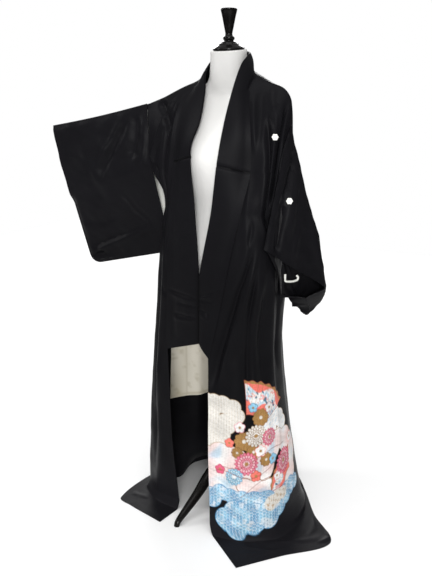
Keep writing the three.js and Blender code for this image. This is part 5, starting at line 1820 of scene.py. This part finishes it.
@dataclass
class Sleeve(Half):
    """Sleeve bag: two layers folded on top, sewn below the cuff opening, open at the body."""

    corner: float = 34.0
    cells: int = 52

    def layer(self, face: Face) -> Sheet:
        """Return one layer from the body to the cuff, fold to bottom."""
        side = self.side
        along = np.linspace(0, 1, self.cells + 1)
        down = np.concatenate([[0], np.linspace(0, 1, 71)[1:-1] * SLEEVE_DEPTH, [SLEEVE_DEPTH]])
        u, v = np.meshgrid(along, down, indexing="ij")
        u, v = self.round_corner(u, v)
        points = self.garment.sleeve_point(face, u, v)
        sag = SLEEVE_SAG[side] * smooth_step(120, 330, v) * smooth_step(0.45, 1, u)
        other = Face.BACK if face is Face.FRONT else Face.FRONT
        mean = (points + self.garment.sleeve_point(other, u, v)) / 2
        closed = smooth_step(CUFF_OPENING, CUFF_OPENING + 40, v)
        side_sewn = closed * smooth_step(0.9, 1.0, u) ** 2
        ends = np.maximum(1 - smooth_step(0, 14, v), smooth_step(SLEEVE_DEPTH - 16, SLEEVE_DEPTH, v)) ** 2
        sewn = np.maximum(side_sewn, ends)[..., None]
        points = points * (1 - sewn) + mean * sewn
        facing = (1.0, 0.2, 0.2) if side is Side.LEFT else (0.0, 1.0, 0.0)
        outward = (-1 if face is Face.FRONT else 1) * np.broadcast_to(np.array(facing), points.shape)
        points[..., 2] -= sag
        sheet = Sheet(points, points[..., :2], outward)
        height = SLEEVE_GAIN * crease_height(SLEEVE_CREASES[(side, face)], u, v, SLEEVE_WIDE)
        height += 2.0 * soft_noise(u * SLEEVE_WIDE + v * 0.5, v - u * 170, 110, 12)
        height += 0.9 * soft_noise(u * SLEEVE_WIDE + v * 0.7, (v - u * 240) * 0.5, 40, 13)
        free = 1 - sewn[..., 0]
        start = smooth_step(0, 0.05, u)
        dressed = sheet.pushed(height * free * start).points
        return Sheet(dressed, flat_grid(dressed), outward)

    def round_corner(self, u: Array, v: Array) -> tuple[Array, Array]:
        """Round the lower corner of the cuff."""
        reach_u = self.corner / SLEEVE_WIDE
        reach_v = self.corner
        cu = np.clip((u - (1 - reach_u)) / reach_u, 0, 1)
        cv = np.clip((v - (SLEEVE_DEPTH - reach_v)) / reach_v, 0, 1)
        ru = cu * np.sqrt(1 - cv * cv / 2)
        rv = cv * np.sqrt(1 - cu * cu / 2)
        return u + (ru - cu) * reach_u, v + (rv - cv) * reach_v

    def build(self) -> None:
        """Make the sleeve and the lining that shows in it."""
        name = self.side.value
        front, back = self.layer(Face.FRONT), self.layer(Face.BACK)
        bag = Sheet(
            np.concatenate([front.points[:, ::-1], back.points[:, 1:]], 1),
            np.zeros(0), np.concatenate([front.outward[:, ::-1], back.outward[:, 1:]], 1))
        bag.flat = flat_grid(bag.points)
        bag_name = f"sleeve_bag_{name}"
        cloth_piece(bag_name, f"sleeve_{name}", [bag])
        cells_down = front.points.shape[1] - 1

        def stops(top: float, bottom: float) -> slice:
            """Return the grid lines between two distances down."""
            return slice(*(round(down / SLEEVE_DEPTH * cells_down) for down in (top, bottom)))

        if self.side is Side.RIGHT:
            inner = back.part(slice(0, round(0.86 * self.cells)), stops(20, 430))
        else:
            inner = front.part(slice(round(0.5 * self.cells), self.cells - 1), stops(60, 240))
            inner.dye = np.broadcast_to(np.array([*Dye.BLACK.value, 1.0]), (*inner.points.shape[:2], 4))
            inner.through = True
            cloth_piece(
                "inner_sleeve_mouth_left", None, [self.mouth()], WHITE_SILK, LINING_CLOTH)
        cloth_piece(
            f"white_sleeve_lining_{name}", f"sleeve_lining_{name}", [inner],
            WHITE_SILK, LINING_CLOTH, LINING_SHIFT)

    @staticmethod
    def mouth() -> Sheet:
        """Return the rolled edge of the white inner sleeve, a band round its mouth."""
        run = run_lengths(MOUTH_PATH)
        path = spline(MOUTH_PATH, run, np.linspace(0, run[-1], 48))
        way = np.gradient(path, axis=0)
        way /= np.linalg.norm(way, axis=1)[:, None]
        facing = np.array([0.42, -0.88, 0.24])
        across = np.cross(way, facing)
        across /= np.linalg.norm(across, axis=1)[:, None]
        part = np.linspace(-1, 1, 13)
        roll = (1 - part**2) * 2.0
        points = path[:, None] + across[:, None] * (part * MOUTH_HALF)[None, :, None]
        points += facing * roll[None, :, None]
        dark = smooth_step(0.42, 0.58, np.abs(part))
        dye = np.array([[*Dye.BLACK.value, cover] for cover in dark])
        dye = np.broadcast_to(dye, (*points.shape[:2], 4))
        return Sheet(points, flat_grid(points), np.broadcast_to(facing, points.shape), dye, True)


# ---- dress form and stand ----
def lathe_grid(rings: Array) -> tuple[Array, list[tuple[int, ...]]]:
    """Return points and faces of closed rings, capped at both ends."""
    count_rings, count = rings.shape[:2]
    points = np.vstack([rings.reshape(-1, 3), rings[0].mean(0), rings[-1].mean(0)])
    faces: list[tuple[int, ...]] = []
    low, high = count_rings * count, count_rings * count + 1
    for i in range(count):
        j = (i + 1) % count
        faces += [
            (r * count + i, r * count + j, (r + 1) * count + j, (r + 1) * count + i)
            for r in range(count_rings - 1)
        ]
        faces.append((low, j, i))
        faces.append((high, (count_rings - 1) * count + i, (count_rings - 1) * count + j))
    return points, faces


@dataclass
class DressForm:
    """Limbless torso with neck cap and finial."""

    sides: int = 128

    def torso_rings(self) -> Array:
        """Return the torso's rings, rounded over at both ends."""
        heights = np.concatenate([np.linspace(780, 1388, 110), np.linspace(1388.5, FORM_TOP, 60)])
        angles = np.linspace(0, 2 * math.pi, self.sides, endpoint=False)
        rings = []
        for z in heights:
            wide, deep, shift = form_section(np.array([z]))[0]
            power = 2 / ROUNDNESS
            x = wide * np.sign(np.cos(angles)) * np.abs(np.cos(angles)) ** power
            y = shift + deep * np.sign(np.sin(angles)) * np.abs(np.sin(angles)) ** power
            lean = y * NECK_SLOPE * max(0.0, (z - 1485) / (FORM_TOP - 1485))
            rings.append(np.column_stack([x, y, z + lean]))
        rings = np.array(rings)
        for at in (0, -1):
            middle = rings[at].mean(0)
            rings[at] = middle + (rings[at] - middle) * END_DRAWN
        return rings

    def build(self) -> None:
        """Make torso and cap."""
        turned_piece("dress_form", *lathe_grid(self.torso_rings()), FORM_JERSEY, "torso")
        angles = np.linspace(0, 2 * math.pi, 96, endpoint=False)
        run = run_lengths(CAP_PROFILE.astype(float))
        profile = spline(CAP_PROFILE, run, np.linspace(0, run[-1], 230))
        rings = []
        for z, radius in profile:
            y = radius * np.sin(angles)
            lean = y * NECK_SLOPE * max(0.0, 1 - z / 20)
            rings.append(np.column_stack([
                radius * np.cos(angles), y, FORM_TOP + FINIAL_GAP + z + lean]))
        turned_piece("finial_cap", *lathe_grid(np.array(rings)), BLACK_LACQUER, "neck_cap")


@dataclass
class Stand:
    """Pole, hub and three curved legs."""

    sides: int = 40

    def leg(self, number: int, angle: float) -> None:
        """Make one tapering leg."""
        run = run_lengths(LEG_SECTIONS[:, :2].astype(float))
        rows = spline(LEG_SECTIONS, run, np.linspace(0, run[-1], 60))
        turns = np.linspace(0, 2 * math.pi, self.sides, endpoint=False)
        way = np.gradient(rows[:, :2], axis=0)
        way[-1] = (0, -1)
        way /= np.linalg.norm(way, axis=1)[:, None]
        rings = []
        for (reach, z, radius), (dr, dz) in zip(rows, way):
            lift = radius * np.cos(turns)
            ring = np.column_stack([reach - dz * lift, -radius * np.sin(turns), z + dr * lift])
            ring[:, 2] = np.maximum(ring[:, 2], 0)
            rings.append(ring)
        points, faces = lathe_grid(np.array(rings))
        c, s = math.cos(math.radians(angle)), math.sin(math.radians(angle))
        turned = np.column_stack([
            points[:, 0] * c - points[:, 1] * s, points[:, 0] * s + points[:, 1] * c, points[:, 2]])
        turned_piece(f"stand_leg_{number}", turned, faces, BLACK_LACQUER, f"leg_{number}")

    def build(self) -> None:
        """Make the legs and dress pole and hub."""
        for number, angle in enumerate(LEG_ANGLES, 1):
            self.leg(number, angle)
        for node, finish in (("pole", DARK_STEEL), ("hub", BLACK_LACQUER)):
            item = bpy.data.objects[node]
            for place in item.material_slots:
                place.material = finish.material()


# ---- crests ----
LEFT_DETAIL = {"cells_across": 110, "low_step": 2.6}
RIGHT_DETAIL = {"cells_across": 44, "low_step": 9.0}


@dataclass
class Crests:
    """Plain six-lobed roundels at four crest places: left chest, back and both sleeves."""

    radius: float = 10.0
    lobes: int = 6
    profile: tuple[tuple[float, float], ...] = (
        (1.0, -0.5), (1.0, 0.15), (0.9, 0.3), (0.55, 0.28), (0.5, 0.12), (0.2, 0.12), (0.15, 0.3))

    def build(self) -> None:
        """Place the roundels."""
        body, columns, levels = Panels(GARMENTS[Side.LEFT], painted=False, **LEFT_DETAIL).body_alone()
        for name, place in (("crest_chest_left", (2.03, 1269)), ("crest_back", (4.93, 1235))):
            self.on_grid(name, body, columns, levels, place, COLUMN_MM)
        for side, place in ((Side.LEFT, (0.5, 58)), (Side.RIGHT, (0.5, 75))):
            sheet = Sleeve(GARMENTS[side]).layer(Face.BACK)
            rows, stops = sheet.points.shape[:2]
            u, v = np.meshgrid(np.linspace(0, 1, rows), np.linspace(0, SLEEVE_DEPTH, stops), indexing="ij")
            self.on_grid(f"crest_sleeve_{side.value}", sheet, u, v, place, SLEEVE_WIDE)

    def on_grid(
        self, name: str, sheet: Sheet, x: Array, y: Array, place: tuple[float, float], x_scale: float
    ) -> None:
        """Place one roundel at a panel's own coordinates."""
        far = np.hypot((x - place[0]) * x_scale, y - place[1])
        at = np.unravel_index(np.argmin(far), far.shape)
        normal = sheet.normals[at]
        self.rosette(name, sheet.points[at] + normal * CLOTH / 2, normal, np.array([0.0, 0, 1]))

    def rosette(self, name: str, centre: Array, normal: Array, up: Array) -> None:
        """Make one roundel just over the cloth."""
        normal = normal / np.linalg.norm(normal)
        right = np.cross(up, normal)
        right /= np.linalg.norm(right)
        up = np.cross(normal, right)
        angles = np.linspace(0, 2 * math.pi, 72, endpoint=False)
        rim = self.radius * (0.93 + 0.07 * np.cos(angles * self.lobes))
        rings = []
        for part, lift in self.profile:
            plan = (rim * part)[:, None]
            ring = centre + plan * (np.cos(angles)[:, None] * right + np.sin(angles)[:, None] * up)
            rings.append(ring + normal * lift)
        finish_piece(new_object(name, *lathe_grid(np.array(rings))), CREST_SILK)


# ---- studio ----
# Light: name, strength, apparent size in degrees, direction.
LIGHTS = (
    ("key", 0.70, 10, (0.80, 0.45, -0.46)), ("front", 2.15, 18, (-0.45, 0.87, -0.24)),
    ("top", 1.5, 50, (-0.12, 0.30, -1)), ("back", 1.2, 30, (0.45, -0.80, -0.35)),
)


@dataclass
class Studio:
    """Floor, light and camera."""

    eye: Triple = (952.0, -1872.0, 1400.0)
    turn: float = 28.0
    tilt: float = 16.13
    lens: float = 41.33
    floor_reach: float = 4200.0
    floor_stops: int = 9
    sky_side: float = 0.04
    sky_top: float = 0.5

    def floor(self) -> None:
        """Make the plain floor."""
        count = self.floor_stops
        stops = np.linspace(-self.floor_reach, self.floor_reach, count)
        x, y = np.meshgrid(stops, stops)
        points = np.column_stack([x.ravel(), y.ravel(), np.full(x.size, -0.4)])
        faces = [
            (r * count + c, r * count + c + 1, (r + 1) * count + c + 1, (r + 1) * count + c)
            for r in range(count - 1) for c in range(count - 1)
        ]
        item = new_object("studio_floor", points, faces)
        item.data.materials.append(FLOOR.material())

    @staticmethod
    def aimed(name: str, data: bpy.types.ID, look: Sequence[float]) -> bpy.types.Object:
        """Add a light or camera that looks along a direction."""
        item = bpy.data.objects.new(name, data)
        item.rotation_mode = "QUATERNION"
        item.rotation_quaternion = Vector(look).to_track_quat("-Z", "Y")
        bpy.context.scene.collection.objects.link(item)
        return item

    def light(self, name: str, strength: float, size: float, direction: Sequence[float]) -> None:
        """Add one broad distant light."""
        data = bpy.data.lights.new(name, "SUN")
        data.energy = strength
        data.angle = math.radians(size)
        self.aimed(name, data, direction)

    def camera(self) -> None:
        """Add the camera."""
        data = bpy.data.cameras.new("view")
        data.lens = self.lens
        data.sensor_width = 36
        data.sensor_fit = "AUTO"
        data.clip_end = 100
        turn, tilt = math.radians(self.turn), math.radians(self.tilt)
        look = (-math.sin(turn) * math.cos(tilt), math.cos(turn) * math.cos(tilt), -math.sin(tilt))
        item = self.aimed("view", data, look)
        item.location = PLACER.place(np.array(self.eye))
        bpy.context.scene.camera = item

    def sky(self, world: bpy.types.World) -> None:
        """Draw soft light that is strong from above, weak from the side, and white to the eye."""
        pen = NodePen(world)
        way = pen.node("ShaderNodeSeparateXYZ", {0: pen.coordinates("Generated")})
        rise = pen.node("ShaderNodeMapRange", {
            "From Min": 0.0, "From Max": 0.9, "To Min": self.sky_side, "To Max": self.sky_top,
            "Value": way.outputs["Z"]})
        seen = pen.node("ShaderNodeLightPath").outputs["Is Camera Ray"]
        ground = pen.tree.nodes["Background"].inputs
        pen.feed(ground["Color"], (1, 1, 1, 1))
        pen.feed(ground["Strength"], pen.math("MAXIMUM", seen, rise.outputs["Result"]))

    def build(self) -> None:
        """Set up the studio."""
        scene = bpy.context.scene
        scene.view_settings.view_transform = "Standard"
        scene.view_settings.look = "None"
        world = bpy.data.worlds.new("studio")
        scene.world = world
        world.use_nodes = True
        self.sky(world)
        self.floor()
        for light in LIGHTS:
            self.light(*light)
        self.camera()


def main() -> None:
    """Build everything."""
    logging.basicConfig(level=logging.INFO)
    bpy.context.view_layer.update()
    assemblies = (
        Studio(), DressForm(), Stand(),
        Panels(GARMENTS[Side.LEFT], painted=True, **LEFT_DETAIL),
        Panels(GARMENTS[Side.RIGHT], painted=False, **RIGHT_DETAIL),
        Collar(), *(Sleeve(GARMENTS[side]) for side in Side), Crests(),
    )
    for assembly in assemblies:
        known = set(bpy.data.objects.keys())
        assembly.build()
        for name in sorted(set(bpy.data.objects.keys()) - known):
            LOG.info("%s made %s", type(assembly).__name__, name)


if __name__ == "__main__":
    main()
